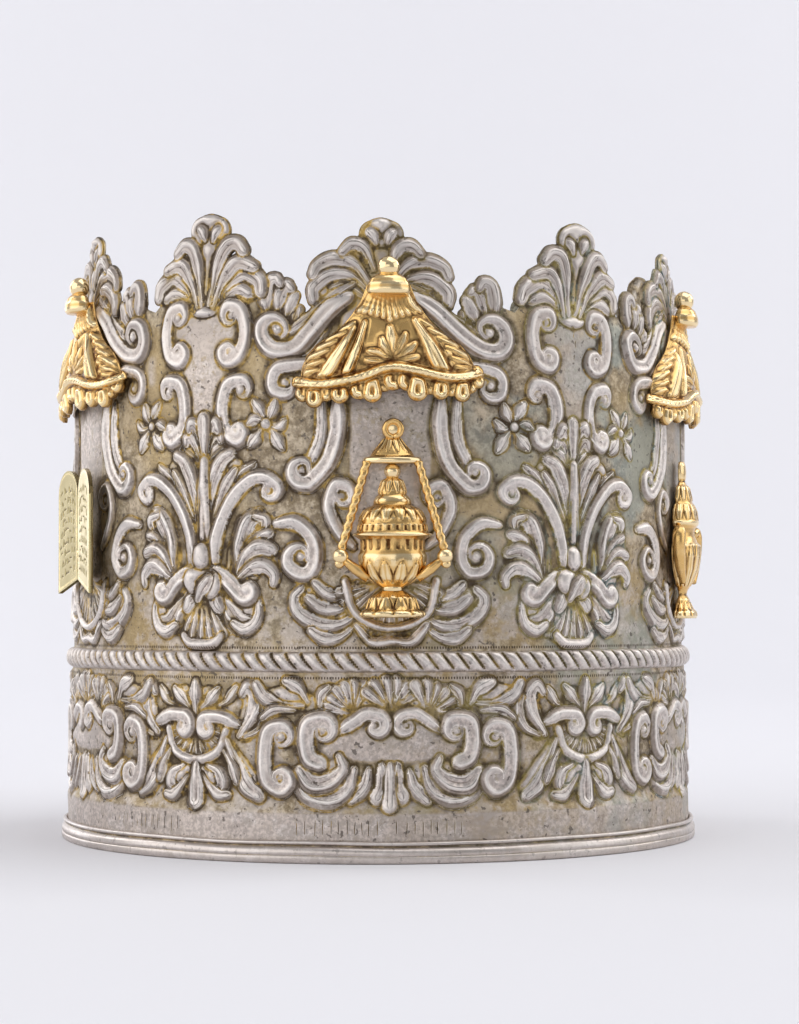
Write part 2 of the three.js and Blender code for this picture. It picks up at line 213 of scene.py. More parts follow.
class Relief:
    # a net of heights over part of the wall, on which the motifs are raised one over another

    def __init__(self, left, right, low, high, pitch, wraps=False):
        count = int(round((right - left) / pitch))
        self.pitch, self.wraps, self.left, self.low = (right - left) / count, wraps, left, low
        self.columns = count if wraps else count + 1
        self.rows = int(round((high - low) / pitch)) + 1
        self.across = left + np.arange(self.columns) * self.pitch
        self.heights = low + np.arange(self.rows) * self.pitch
        shape = (self.columns, self.rows)
        self.rise, self.line, self.plain, self.side, self.wide = (np.zeros(shape) for _ in range(5))
        self.keep = np.full(shape, -9.0)

    def window(self, path, margin):
        lo, hi = path.min(0) - margin, path.max(0) + margin
        i0, i1 = int((lo[0] - self.left) / self.pitch) - 1, int((hi[0] - self.left) / self.pitch) + 2
        j0, j1 = int((lo[1] - self.low) / self.pitch), int((hi[1] - self.low) / self.pitch) + 2
        if not self.wraps:
            i0, i1 = max(i0, 0), min(i1, self.columns)
        i, j = np.arange(i0, i1), np.arange(max(j0, 0), min(j1, self.rows))
        if not len(i) or not len(j):
            return None
        across = self.left + i * self.pitch
        return np.ix_(i % self.columns, j), *np.meshgrid(across, self.low + j * self.pitch, indexing="ij")

    def press(self, stroke, shift=0.0, lean=None, sway=0.0, draw=None):
        # shift moves the motif round the wall, lean bends it sideways with height,
        # and sway is the hand's unevenness
        points = np.array(stroke["points"], float)
        if lean is not None:
            points[:, 0] += lean(points[:, 1])
        points[:, 0] += shift
        # leaves are spread until they meet, but not the crest, cords or volutes
        spreads = stroke["hollow"] > 0.1 and not stroke["crest"] and "eyes" not in stroke
        widths = np.array(stroke["widths"], float) * chasing["leaf spread" if spreads else "scroll spread"]
        if draw is not None and sway:
            points += draw.normal(0, sway, 2) * 0.7 + draw.normal(0, sway * 0.25, points.shape)
            widths = widths * (1 + draw.normal(0, 0.05))
        path, half, run = smoothPath(points, widths)
        found = self.window(path, widths.max() + 1.6)
        if found is None:
            return
        cells, px, pz = found
        a, b = path[:-1], path[1:]
        along = b - a
        length2 = (along**2).sum(1) + 1e-9
        t = ((px[..., None] - a[:, 0]) * along[:, 0] + (pz[..., None] - a[:, 1]) * along[:, 1]) / length2
        t = np.clip(t, 0, 1)
        dx = px[..., None] - a[:, 0] - t * along[:, 0]
        dz = pz[..., None] - a[:, 1] - t * along[:, 1]
        width = half[:-1] + t * (half[1:] - half[:-1])
        gap = np.hypot(dx, dz)
        nearest = np.argmin(gap / width, axis=-1)[..., None]
        aside = (dx * along[:, 1] - dz * along[:, 0]) / np.sqrt(length2)
        place = run[:-1] + t * np.diff(run)
        gap, width, aside, place = (np.take_along_axis(v, nearest, -1)[..., 0]
                                    for v in (gap, width, aside, place))
        s = np.clip(gap / width, 0, 1)
        outside = gap - width
        rise, line, plain = self.rise[cells], self.line[cells], self.plain[cells]
        if stroke["kind"] == "cut":
            cut = step(0, 1, 1 - s)
            rise = rise - stroke["height"] * cut
            line = np.maximum(line, 0.9 * step(0.1, 0.8, cut))
        else:
            body = step(0, 1, (1 - s) / np.minimum(0.6 / width, 0.6))
            bends = np.diff(np.unwrap(np.arctan2(along[:, 1], along[:, 0]))).sum() if len(along) > 1 else 0
            q = np.sign(aside) * s * (1 if bends >= 0 else -1)
            if stroke["hollow"]:
                # a crest towards the outer side, a shallow channel inside it and a slope down outside
                section = 0.74 + 0.3 * bell(q - 0.3, 0.14) - 0.9 * stroke["hollow"] * bell(q + 0.22, 0.36)
                section = body * (section + 0.16 * bell(q + 0.74, 0.16) - 0.5 * step(0.38, 1.0, q))
            else:
                section = body * (1 - 0.22 * s * s)
            if "twist" in stroke:
                pitch, depth = stroke["twist"]
                whole = np.hypot(*np.diff(path, axis=0).T).sum()
                wind = (place * whole + aside * 0.9) / pitch
                wind = np.abs(wind - np.floor(wind) - 0.5) * 2
                section = section * (1 - depth * step(0.55, 1.0, wind))
            cover = 1 - step(0, 0.75, outside)
            rise = np.maximum(rise * (1 - cover), stroke["height"] * 0.82 * section)
            line = np.maximum(line * (1 - cover), bell(outside - 0.3, 0.5))
            over = outside < 0.15
            self.side[cells] = np.where(over, q, self.side[cells])
            banded = (stroke["hollow"] > 0.1) * (-1 if "eyes" in stroke else 1)
            self.wide[cells] = np.where(over, width * banded, self.wide[cells])
            if stroke["kind"] == "plain":
                plain = np.maximum(plain, 1 - step(-0.4, 0.1, outside))
                line = line * 0.5
            else:
                plain = plain * (1 - cover)
        self.rise[cells], self.line[cells], self.plain[cells] = rise, line, plain
        if stroke["crest"]:
            self.keep[cells] = np.maximum(self.keep[cells], 0.25 - outside)
        for eye in stroke.get("eyes", []):
            centre = self.moved(eye, shift, lean)
            here = np.hypot(px - centre[0], pz - centre[1])
            dome = stroke["height"] * 0.8 * np.sqrt(np.clip(1 - (here / (stroke["eye"] * 1.25)) ** 2, 0, 1))
            self.rise[cells] = np.maximum(self.rise[cells], dome)

    def moved(self, place, shift, lean):
        extra = lean(np.array([place[1]]))[0] if lean is not None else 0
        return place[0] + shift + extra, place[1]


# The motifs of the upper wall's small panel, about its own middle.
smallPanel = {
    "field": [plainField([(0, 149), (0, 140), (0, 128)], [9.0, 7.0, 4.8])],
    "masses": bothSides([
        mass([(0, 166), (9, 164.4), (13.4, 162.4)], [8, 6.2, 4.0], 1.3, True),
        mass([(0, 158.4), (5, 160)], [3.4, 3.0], 1.6),
        mass([(12.4, 80), (15.2, 87), (17.6, 93)], [4.0, 6.4, 4.8]),
        mass([(0, 70.6), (8, 70.6), (12.4, 70.4)], [7.4, 6.6, 5.4], 1.1),
        mass([(1, 94), (4.4, 103), (8, 109)], [2.6, 5.6, 5.6], 1.2),
        mass([(0, 113), (1.4, 118.6)], [2.6, 4.4]),
    ]),
    "crest cup": [
        leaf([(-2.8, 179.2), (0, 179.8), (2.8, 179.2)], [3.9, 4.2, 3.9], 2.3, 0, True),
        leaf([(0, 176), (0, 166), (0, 160.6)], [2.6, 3.4, 5.2], 1.2, 0, True),
        leaf([(-7.2, 161.6), (-3.4, 157.6), (0, 156.8), (3.4, 157.6), (7.2, 161.6)],
             [1.4, 2.3, 2.7, 2.3, 1.4], 1.9, 0),
    ],
    "crest leaves": bothSides([
        leaf([(3.6, 157.6), (7.2, 160.2), (11, 161.8), (14.8, 160.2)], [1.0, 1.9, 1.4], 1.8, 0.45, True),
        leaf([(3.2, 157), (6.6, 163), (12.5, 166.9), (17.4, 164.4), (18.3, 161)], [1.1, 2.3, 2.5, 1.8], 2.1,
             0.5, True),
        leaf([(2.6, 157), (5.6, 165), (10.3, 169.9), (15.6, 168.4)], [1.0, 2.1, 2.4, 1.7], 2.1, 0.5, True),
        leaf([(1.4, 157.4), (3.4, 168), (6.2, 174.2), (9.6, 175.4), (12.2, 173)], [1.0, 2.0, 2.3, 1.7], 2.2,
             0.5, True),
        groove([(0, 180.6), (1.6, 182), (3.8, 181.8), (5.4, 179.8), (5.2, 177)], [0.4, 0.6, 0.6, 0.4], 1.0),
        leaf([(1.6, 176.4), (2.3, 178.6), (3.3, 179.6)], [1.0, 1.5, 1.2], 2.6, 0.2),
    ]),
    "crest grooves": bothSides([groove([(1.0, 172), (1.1, 166), (1.5, 159.6)], [0.4, 0.6, 0.3], 0.9)]),
    "upper scrolls": bothSides([
        scroll([(8.7, 157.5), (12.6, 156), (14.1, 150), (12.6, 143.4), (9.2, 141.2)], 2.0,
               (9.3, 154.5, 1), (9.0, 144.2, -1)),
    ]),
    "lower scrolls": bothSides([
        scroll([(12.6, 136.2), (8.3, 134.8), (6.3, 129), (7.1, 122.5), (10.6, 118.8)], 2.1,
               (12.8, 133.2, -1), (11.4, 121.4, 1)),
    ]),
    "palmette": bothSides([
        leaf([(0.8, 112), (3.5, 115.8), (6.3, 117.6)], [0.8, 1.5, 1.2], 1.5),
        leaf([(0.6, 113), (3.2, 119.6), (5.3, 120.8), (6.0, 118.8)], [0.8, 1.6, 1.1], 1.8),
        leaf([(0.4, 114), (1.9, 122), (4.3, 124.3), (5.2, 122.4)], [0.8, 1.6, 1.2], 2.0),
    ]) + [leaf([(0, 112), (0, 120), (0, 125)], [1.0, 1.5, 1.7], 2.0)],
    "spray": bothSides([
        leaf([(6.5, 100), (12, 108.3), (16.5, 111.8)], [0.7, 1.5, 0.9], 1.2),
        leaf([(3.4, 97), (7.2, 105.3), (10.4, 110)], [0.8, 1.6, 1.0], 1.4),
        leaf([(1.2, 94), (2.6, 105), (6, 112.6), (9.3, 115)], [0.9, 1.9, 2.2, 1.5], 1.9),
    ]) + [leaf([(0, 88), (0, 98), (0, 113)], [2.3, 1.8, 1.3], 1.7, 0)]
    + bothSides([groove([(1.2, 90), (0.9, 97), (0.5, 103.5)], [0.9, 0.8, 0.3], 1.2)]),
    "arms": bothSides([
        scroll([(3.9, 83), (4.2, 90), (6.6, 97), (10.8, 103.3), (15.7, 107.3), (20.6, 108), (24.2, 105.4)],
               1.85, None, (21.4, 104.4, -1), 2.4),
    ]),
    "side leaves": bothSides([
        leaf([(10.3, 81), (10.6, 89), (12.2, 96)], [0.8, 1.1, 0.8], 1.3, 0.2),
        leaf([(11, 80), (12.6, 89), (15.2, 96), (18.4, 98)], [1.2, 2.5, 2.5, 1.8], 2.1, 0.5),
        leaf([(17, 97.8), (20.6, 96.6), (20, 93.4)], [1.2, 1.4, 0.9], 1.8),
        leaf([(11.4, 80.5), (15.2, 87.6), (19.2, 91.4), (21.6, 92.4)], [1.0, 1.9, 1.2], 1.8),
        leaf([(11.2, 79.8), (14.4, 85.6), (18.6, 88), (22.4, 87.4)], [1.2, 2.1, 1.5], 2.0),
        leaf([(11, 78.8), (15.6, 82.2), (20, 83.2), (23.2, 80.8), (23, 78.2)], [1.2, 2.1, 1.7, 1.1], 2.2),
    ]),
    "skirt": bothSides([
        leaf([(3.5, 77), (8, 72), (11.5, 67.4), (15.2, 66.4)], [1.4, 2.8, 2.2], 1.4, 0.5),
        leaf([(17.4, 75), (18.2, 70.5), (16.8, 66.4), (13.4, 64.6), (10, 66.4)], [0.9, 1.3, 1.6, 1.0], 2.0,
             0.15),
        leaf([(3.4, 72.5), (5.4, 68), (6.6, 64)], [1.2, 1.3, 1.0], 1.7, 0),
    ]) + fan((0, 78), 6, 15.5, 246, 294, 5, 1.3, 0.45, 0.95)
    + [leaf([(-6.6, 64), (-4.4, 61.8), (0, 61.4), (4.4, 61.8), (6.6, 64)], [0.9, 1.3, 1.4, 1.3, 0.9], 2.1,
            0)],
    "drapes": bothSides([
        scroll([(0.8, 80.2), (5, 80.6), (9.2, 78.2), (12.4, 75)], 2.3, None, (14.6, 76.4, 1), 2.4, 0.45),
        leaf([(0.6, 77.4), (3.4, 75.4), (5.6, 71.6)], [1.4, 2.0, 1.5], 2.4, 0.4),
    ]) + [mass([(-2.6, 79.2), (2.4, 78)], [3.5, 3.7], 2.9),
          leaf([(-1.4, 74), (0, 76.6), (2.6, 79.6)], [1.4, 2.2, 1.5], 3.1, 0.4)],
    "collar": [leaf([(0, 84.9), (0, 87.3)], [2.4, 2.2], 2.5, 0)],
    "flower": bothSides([
        leaf([(20.3, 123.6), (19.3, 127), (17, 130)], [0.6, 1.7, 0.9], 1.6),
        leaf([(20.6, 123.8), (22.6, 127.2), (23.4, 129.6)], [0.6, 1.6, 0.8], 1.6),
        leaf([(21, 123.4), (24.2, 122.6), (26.3, 124.6)], [0.6, 1.4, 0.7], 1.5),
        leaf([(21, 123), (23.6, 119.6), (25.4, 116.6)], [0.6, 1.8, 0.9], 1.6),
        leaf([(20, 123), (18, 119.8), (15.8, 117.6)], [0.6, 1.8, 0.9], 1.6),
        leaf([(19.8, 123.6), (17, 124.6), (14.8, 123.4)], [0.6, 1.4, 0.7], 1.5),
        bead((20.4, 123.4), 1.2, 1.9),
    ]),
}

# The motifs of the upper wall's large panel, which carries a canopy and an emblem.
largePanel = {
    "arch": [plainField([(0.5, 132), (0.5, 110), (0.5, 76)], [10.5, 10.5, 9.5], 0.12)],
    "masses": bothSides([
        mass([(0, 168), (9, 166.5), (15, 163.6)], [8, 6.4, 4.6], 1.2, True),
        mass([(10, 70.4), (17, 70), (23, 72.6)], [3.6, 5.8, 4.2]),
        mass([(30, 152.6), (30.2, 159)], [3.6, 5.6], 1.3, True),
    ]),
    "crest": [
        leaf([(0, 176), (0, 160), (0, 150)], [3.4, 7, 12], 0.7, 0, True),
        leaf([(-2.6, 177.4), (0, 178), (2.6, 177.4)], [3.9, 4.2, 3.9], 2.3, 0, True),
    ] + bothSides([
        leaf([(4.6, 159.4), (9.6, 162.2), (14, 161.6)], [1.0, 1.6, 1.1], 1.7, 0.45, True),
        leaf([(3.5, 160.6), (8.6, 165), (14.6, 165.4), (19.5, 161.6), (19.4, 157.8)], [1.1, 2.1, 2.3, 1.7],
             2.2, 0.5, True),
        leaf([(3, 163), (7.6, 168.8), (13.6, 170.6), (18.4, 168.8), (20, 166)], [1.1, 2.0, 2.1, 1.5], 2.3,
             0.5, True),
        leaf([(1.8, 167), (4.6, 173.2), (8.4, 174.6), (11.2, 172.4)], [1.0, 1.9, 2.0, 1.5], 2.1, 0.5, True),
        groove([(0, 178.8), (1.6, 180.4), (3.8, 180.2), (5.2, 178.2), (5, 175.6)], [0.4, 0.6, 0.6, 0.4], 1.0),
        leaf([(1.6, 174.8), (2.3, 177), (3.3, 178)], [1.0, 1.5, 1.2], 2.6, 0.2),
    ]),
    "shoulder fans": bothSides([
        leaf([(27, 151), (25.4, 153), (24.2, 155.4)], [0.9, 1.9, 1.5], 1.8, 0.5, True),
        leaf([(28.6, 152), (26.8, 157), (25.4, 159.6)], [0.9, 2.2, 1.8], 2.0, 0.5, True),
        leaf([(30.6, 152.5), (29.8, 159), (27.8, 162.9), (26, 161.6)], [0.9, 2.2, 1.9, 1.2], 2.2, 0.5, True),
        leaf([(33, 152.5), (34, 159), (33.2, 164), (30.6, 165), (29.4, 163.2)], [0.9, 2.3, 2.2, 1.8, 1.2],
             2.3, 0.5, True),
    ]),
    "shoulders": bothSides([
        leaf([(8.5, 157.4), (14, 153.6), (19, 147.4), (24, 142.8), (30, 140.8)], [0.8, 1.2, 1.2, 0.7], 1.4,
             0.2),
        leaf([(8, 163), (13, 160), (18.6, 155), (24.6, 150.6), (28, 149)], [1.2, 1.6, 1.7, 1.2], 1.8, 0.3,
             True),
        scroll([(9, 159.4), (15, 155.6), (21, 149.3), (26.6, 144.8), (31.4, 144)], 2.5, None, (31, 149.8, 1),
               2.5, 0.4, 0.42),
    ]),
    "ear scrolls": bothSides([
        scroll([(22, 140.4), (26, 140.2), (29.6, 139.8)], 1.8, None, (29.8, 134.9, -1), 2.0, 0.4),
    ]),
    "cartouche": bothSides([
        leaf([(19.4, 131), (19.4, 120), (22.6, 112.2)], [1.5, 1.6, 1.3], 1.8, 0.3),
        scroll([(14.8, 131), (14.8, 121), (17.2, 112.5), (22.2, 106.9)], 2.3, None, (24.9, 110.2, 1), 2.4,
               0.35),
    ]),
    "commas": bothSides([
        scroll([(10.6, 89), (14.8, 93.4), (17.6, 100.2), (15.8, 106)], 1.6, None, (13.6, 103, 1), 1.9, 0.45),
    ]),
    "side scrolls": bothSides([
        scroll([(32.4, 95.2), (26.4, 95.6), (21.6, 91.6), (20.3, 86), (22.2, 81.8)], 1.9, None, (25, 86, 1),
               2.2, 0.4),
    ]),
    "wings": bothSides([
        leaf([(9.4, 78.6), (13.8, 75.2), (18, 75.6), (21.4, 78.4)], [0.9, 1.6, 1.1], 1.8),
        leaf([(9, 74.8), (13.6, 71.2), (18.8, 71.2), (22.6, 74)], [0.9, 1.8, 1.2], 1.9),
        leaf([(8.6, 70.6), (14, 66.9), (20.4, 66.8), (26.2, 70.2), (27.6, 74.4), (25.4, 77)],
             [1.0, 1.9, 2.0, 1.6, 1.0], 2.2),
        leaf([(9.4, 66.6), (14, 63), (18.8, 62.6), (22.4, 64.8)], [0.9, 1.8, 1.2], 1.9),
    ]),
    "shell": fan((0.5, 80), 4, 14.6, 196, 344, 13, 1.1, 0.5, 0.8)
    + [
        leaf([(-12.6, 79), (-9.6, 69.6), (0.5, 65.4), (10.6, 69.6), (13.6, 79)], [1.0, 1.1, 1.1, 1.1, 1.0],
             1.9, 0),
        leaf([(-9.6, 66.6), (-5, 61.9), (0.5, 62.5), (6, 61.9), (10.6, 66.6)], [1.0, 1.5, 1.3, 1.5, 1.0], 1.8,
             0.2),
    ]
    + [groove([(-7 + 1.9 * k, 64.6), (-7 + 1.9 * k, 63.4)], [0.75, 0.75], 1.2) for k in range(1, 8)],
}

# The motifs of the lower band.
smallBand = {
    "masses": bothSides([
        mass([(2.6, 24), (7, 21.6)], [3.0, 3.6]),
        mass([(10.6, 32), (14.8, 25.4), (19, 20.6)], [2.2, 3.4, 3.2]),
        mass([(16.4, 36.6), (19.6, 42), (19.2, 46.6)], [2.4, 3.8, 2.6]),
        mass([(0, 42.6), (4.4, 45.4)], [3.2, 3.4], 0.9),
    ]),
    "fan": fan((0, 38.4), 3, 10, 192, 348, 11, 1.2, 0.5, 0.85)
    + [leaf([(-10.2, 37), (-7.6, 30.6), (0, 28), (7.6, 30.6), (10.2, 37)], [1.0, 1.2, 1.2, 1.2, 1.0], 1.9,
            0)],
    "tuft": bothSides([
        leaf([(1, 42), (4.6, 45), (7.8, 48.4)], [0.7, 1.7, 0.8], 1.6),
        leaf([(8, 43.6), (11, 45), (13.6, 48.6)], [0.7, 1.4, 0.8], 1.3),
    ]) + [leaf([(0, 41), (0, 46), (0.2, 50.6)], [0.8, 1.9, 1.1], 1.8)],
    "curls": bothSides([
        scroll([(14.6, 38.8), (9.4, 41), (4.9, 41.2)], 1.8, None, (4.6, 38, 1), 2.3, 0.35),
    ]),
    "foot leaves": bothSides([
        leaf([(4.6, 26.4), (8.4, 24.6), (9.8, 21), (7.2, 19.2)], [0.9, 1.7, 1.5, 1.0], 1.9),
        leaf([(2.6, 24), (5.4, 20.4), (8, 18), (11, 18.2)], [0.8, 1.6, 1.2], 1.8),
        leaf([(11, 34), (13.6, 28), (17, 21.4), (21, 18.4)], [1.0, 1.9, 2.3, 1.6], 2.1),
        leaf([(9.6, 31), (12.4, 26.6), (13.8, 22.4)], [0.8, 1.5, 1.0], 1.7),
    ]) + [leaf([(0, 27), (0, 21.6), (0, 17)], [1.5, 2.4, 2.6], 2.1, 0.3)],
    "rising leaves": bothSides([
        leaf([(14.6, 35.6), (18.8, 41), (20.2, 46.6), (17.6, 49.8), (15.4, 47.4)], [1.3, 2.2, 1.8, 1.0], 2.1),
        leaf([(16.6, 35.4), (21.2, 37.6), (23.4, 42.6), (22.6, 46.6)], [0.9, 1.5, 1.0], 1.6),
    ]),
}
largeBand = {
    "masses": bothSides([
        mass([(9, 23.8), (15.4, 23), (22, 23.4)], [3.4, 5.2, 3.2], 1.1),
        mass([(22.6, 45), (28, 46.4), (34, 46)], [2.2, 3.4, 2.6], 0.9),
        mass([(0, 45.4), (11.4, 44.2)], [5.4, 5.0], 0.9),
    ]),
    "field": [plainField([(-16, 33.4), (0, 34), (16, 33.4)], [3.8, 5.8, 3.8], 0.45)],
    "shells": [
        rib
        for place, tip, reach in (((-10.2, 41.6), 118, 8.4), ((0.4, 42.4), 90, 8.8), ((10.8, 41.8), 62, 8.2))
        for rib in fan(place, 1.4, reach, tip - 50, tip + 50, 6, 1.8, 0.3, 1.0)
    ],
    "small curls": bothSides([
        scroll([(14.4, 37.2), (10.6, 39.8), (7, 42), (4.2, 41.8)], 1.75, None, (4.2, 38.6, 1), 2.1, 0.35),
    ]),
    "outer leaves": bothSides([
        leaf([(24.4, 44.6), (30.6, 44.4), (36, 46.4), (38.6, 50)], [0.8, 1.7, 1.2], 1.8),
        leaf([(23.4, 44.8), (25.8, 49), (29.6, 50.8)], [0.9, 1.9, 1.2], 1.7),
        leaf([(20.2, 43.4), (19.8, 47.4), (17.6, 49.4)], [0.8, 1.4, 0.8], 1.4),
        leaf([(26.6, 42.6), (32.4, 42.8), (36.4, 40.4)], [0.9, 1.3, 0.9], 1.6, 0.2),
    ]),
    "sweeps": bothSides([
        leaf([(5.6, 26), (6.8, 21.4), (10.6, 17.6)], [1.2, 1.8, 1.2], 1.9),
        leaf([(10, 26.4), (11.8, 20.8), (16.6, 18.2), (22.4, 19.6), (26, 25)], [1.6, 2.9, 3.0, 1.8], 2.1,
             0.5),
        leaf([(14.2, 29.6), (13, 26), (17, 22.4), (22, 22), (25.4, 25.6)], [1.5, 2.3, 2.4, 1.4], 2.3, 0.5),
    ]),
    "big curls": bothSides([
        scroll([(18.6, 40.4), (22.8, 39.2), (23.8, 34.4), (22.6, 29.4), (19.8, 27.8)], 2.35, (18.7, 37, 1),
               None, 2.4, 0.4),
    ]),
    "side curls": bothSides([
        scroll([(30.8, 38.8), (34.6, 37), (35.8, 30), (34.8, 23), (31.4, 20.4)], 2.3, (30.6, 35.4, 1),
               (31, 23.8, -1), 2.3, 0.4),
    ]),
    "drop": bothSides([leaf([(2.3, 27), (2.1, 22), (3.4, 18.2)], [1.6, 1.5, 1.9], 2.0, 0.2)])
    + [leaf([(0, 27.2), (0, 21), (0, 16)], [1.3, 1.3, 1.9], 2.2, 0.2)],
}

# Each small panel's sideways bend at the crest and its lower motif's shift, in millimetres.
smallOffsets = {-31.5: (0.4, -2.0), 35.8: (4.4, 3.6), 110.0: (1.5, 1.5), 184.0: (-1.0, 0.5),
                257.0: (1.2, -1.0)}
seamCrack = {"path": [(0.9, 159.6), (0.2, 154), (0.9, 149), (0.5, 144)], "widths": [0.35, 0.3, 0.3, 0.1],
             "depth": 0.7}
crestOutline = {
    "small": [(0, 177), (5, 173), (9, 167.6), (14, 163.6), (18, 159.6), (21, 156.5)],
    "large": [(0, 178), (6, 172), (12, 167), (18, 159.5), (21.2, 155.2), (23.2, 152.6), (25.4, 153.6),
              (29, 158), (33, 159)],
    "small bend": 1.5,
    "large bend": -2.2,
}


def crestLine(across):
    # the height up to which the sheet is whole; the leaf tips stand above it
    places, tops = [], []
    for panels, size in ((smallPanels, "small"), (list(largePanels.values()), "large")):
        profile, bend = crestOutline[size], crestOutline[size + " bend"]
        for angle in panels:
            for side in (1, -1):
                for out, top in profile[0 if side > 0 else 1 :]:
                    places.append(roundAt(angle) + side * out + bend)
                    tops.append(top)
    whole = math.tau * crown["unrolled radius"]
    places, tops = np.array(places) % whole, np.array(tops)
    order = np.argsort(places)
    return np.interp(np.asarray(across) % whole, places[order], tops[order], period=whole)


wallNet = {
    "pitch": 0.4,
    "low": 58.0,
    "high": 187.0,
    "upper triangles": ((170000, 95000, 80000, 95000)),
    "lower triangles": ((88000, 42000, 34000, 42000)),
}
halfRound = math.pi * crown["unrolled radius"]


def raiseUpperWall():
    sheet = Relief(-halfRound, halfRound, wallNet["low"], wallNet["high"], wallNet["pitch"], wraps=True)
    line = crestLine(sheet.across)
    sheet.keep = np.maximum(sheet.keep, (line[:, None] - sheet.heights[None, :]) * 0.7)
    for angle in largePanels.values():
        for part in largePanel.values():
            for stroke in part:
                sheet.press(stroke, roundAt(angle), lambda z: crestOutline["large bend"] * step(138, 158, z),
                            chasing["hand"], chance)
    for angle in smallPanels:
        bend = smallOffsets[angle][0]
        for part in smallPanel.values():
            for stroke in part:
                sheet.press(stroke, roundAt(angle), lambda z: bend * step(155, 178, z), chasing["hand"],
                            chance)
    crack = groove(seamCrack["path"], seamCrack["widths"], seamCrack["depth"])
    sheet.press(crack, roundAt(smallPanels[1]))
    print("upper wall chased:", sheet.columns, "by", sheet.rows)
    return sheet


def raiseLowerBand():
    pitch = wallNet["pitch"]
    sheet = Relief(-halfRound, halfRound, 1.6, 54.4, pitch, wraps=True)
    sheet.keep[:] = 9.0
    sheet.plain[:] = (1 - step(13.2, 14.4, sheet.heights))[None, :]
    for angle in smallPanels:
        for part in smallBand.values():
            for stroke in part:
                sheet.press(stroke, roundAt(angle) + smallOffsets[angle][1], None, chasing["hand"], chance)
    for angle in largePanels.values():
        for part in largeBand.values():
            for stroke in part:
                sheet.press(stroke, roundAt(angle), None, chasing["hand"], chance)
    print("lower band chased:", sheet.columns, "by", sheet.rows)
    return sheet


def wallGround(height):
    # radius of the sheet before chasing
    z = np.asarray(height, float)
    steppedIn = crown["band radius"] - crown["strip radius"]
    radius = crown["strip radius"] + steppedIn * step(*crown["strip top"], z)
    radius = radius + (crown["wall radius"] - crown["band radius"]) * step(*crown["rope seat"], z)
    return radius - crown["lean in"] * step(*crown["crest bend"], z) ** 1.2


def tiltAt(across, height):
    low, high = crown["tilt heights"]
    share = np.clip((height - low) / (high - low), 0, 1.05)
    return -crown["tilt"] * np.sin(across / crown["unrolled radius"]) * share


def onWall(across, height, out):
    # a point of the wall in metres: out is measured from the sheet's own ground
    angle = across / crown["unrolled radius"]
    radius = wallGround(height) + out
    level = height + tiltAt(across, height)
    return np.stack([radius * np.sin(angle), -radius * np.cos(angle), level], -1) * mm


def newPiece(name, points, faces, colours=None, engraving=None, smooth=True):
    mesh = bpy.data.meshes.new(name)
    mesh.from_pydata(points, [], faces)
    mesh.validate()
    if colours is not None:
        layer = mesh.attributes.new("chasing", "FLOAT_COLOR", "POINT")
        layer.data.foreach_set("color", np.asarray(colours, np.float32).ravel())
    if engraving is not None:
        layer = mesh.attributes.new("engraving", "FLOAT_COLOR", "POINT")
        layer.data.foreach_set("color", np.asarray(engraving, np.float32).ravel())
    mesh.polygons.foreach_set("use_smooth", [smooth] * len(mesh.polygons))
    piece = bpy.data.objects.new(name, mesh)
    bpy.context.scene.collection.objects.link(piece)
    return piece


def thinned(piece, most):
    # fewer, larger faces where the surface is calm
    piece.data.calc_loop_triangles()
    count = len(piece.data.loop_triangles)
    if count <= most:
        return piece
    cut = piece.modifiers.new("thin", "DECIMATE")
    cut.ratio = most / count
    depsgraph = bpy.context.evaluated_depsgraph_get()
    mesh = bpy.data.meshes.new_from_object(piece.evaluated_get(depsgraph), depsgraph=depsgraph)
    piece.modifiers.clear()
    old, piece.data = piece.data, mesh
    bpy.data.meshes.remove(old)
    mesh.name = piece.name
    mesh.polygons.foreach_set("use_smooth", [True] * len(mesh.polygons))
    return piece


def sheetColours(sheet, rise):
    # red: how far raised, green: ridge or hollow, blue: chased outline, alpha: left plain
    fine = rise - blurred(rise, 1.4 / sheet.pitch, sheet.wraps)
    broad = rise - blurred(rise, 4.0 / sheet.pitch, sheet.wraps)
    edge = np.clip(0.5 + fine * 0.6 + broad * 0.16, 0, 1)
    raised = np.clip(rise / 2.4, 0, 1)
    return np.stack([raised, edge, np.clip(sheet.line, 0, 1), np.clip(sheet.plain, 0, 1), sheet.side,
                     sheet.wide], -1)


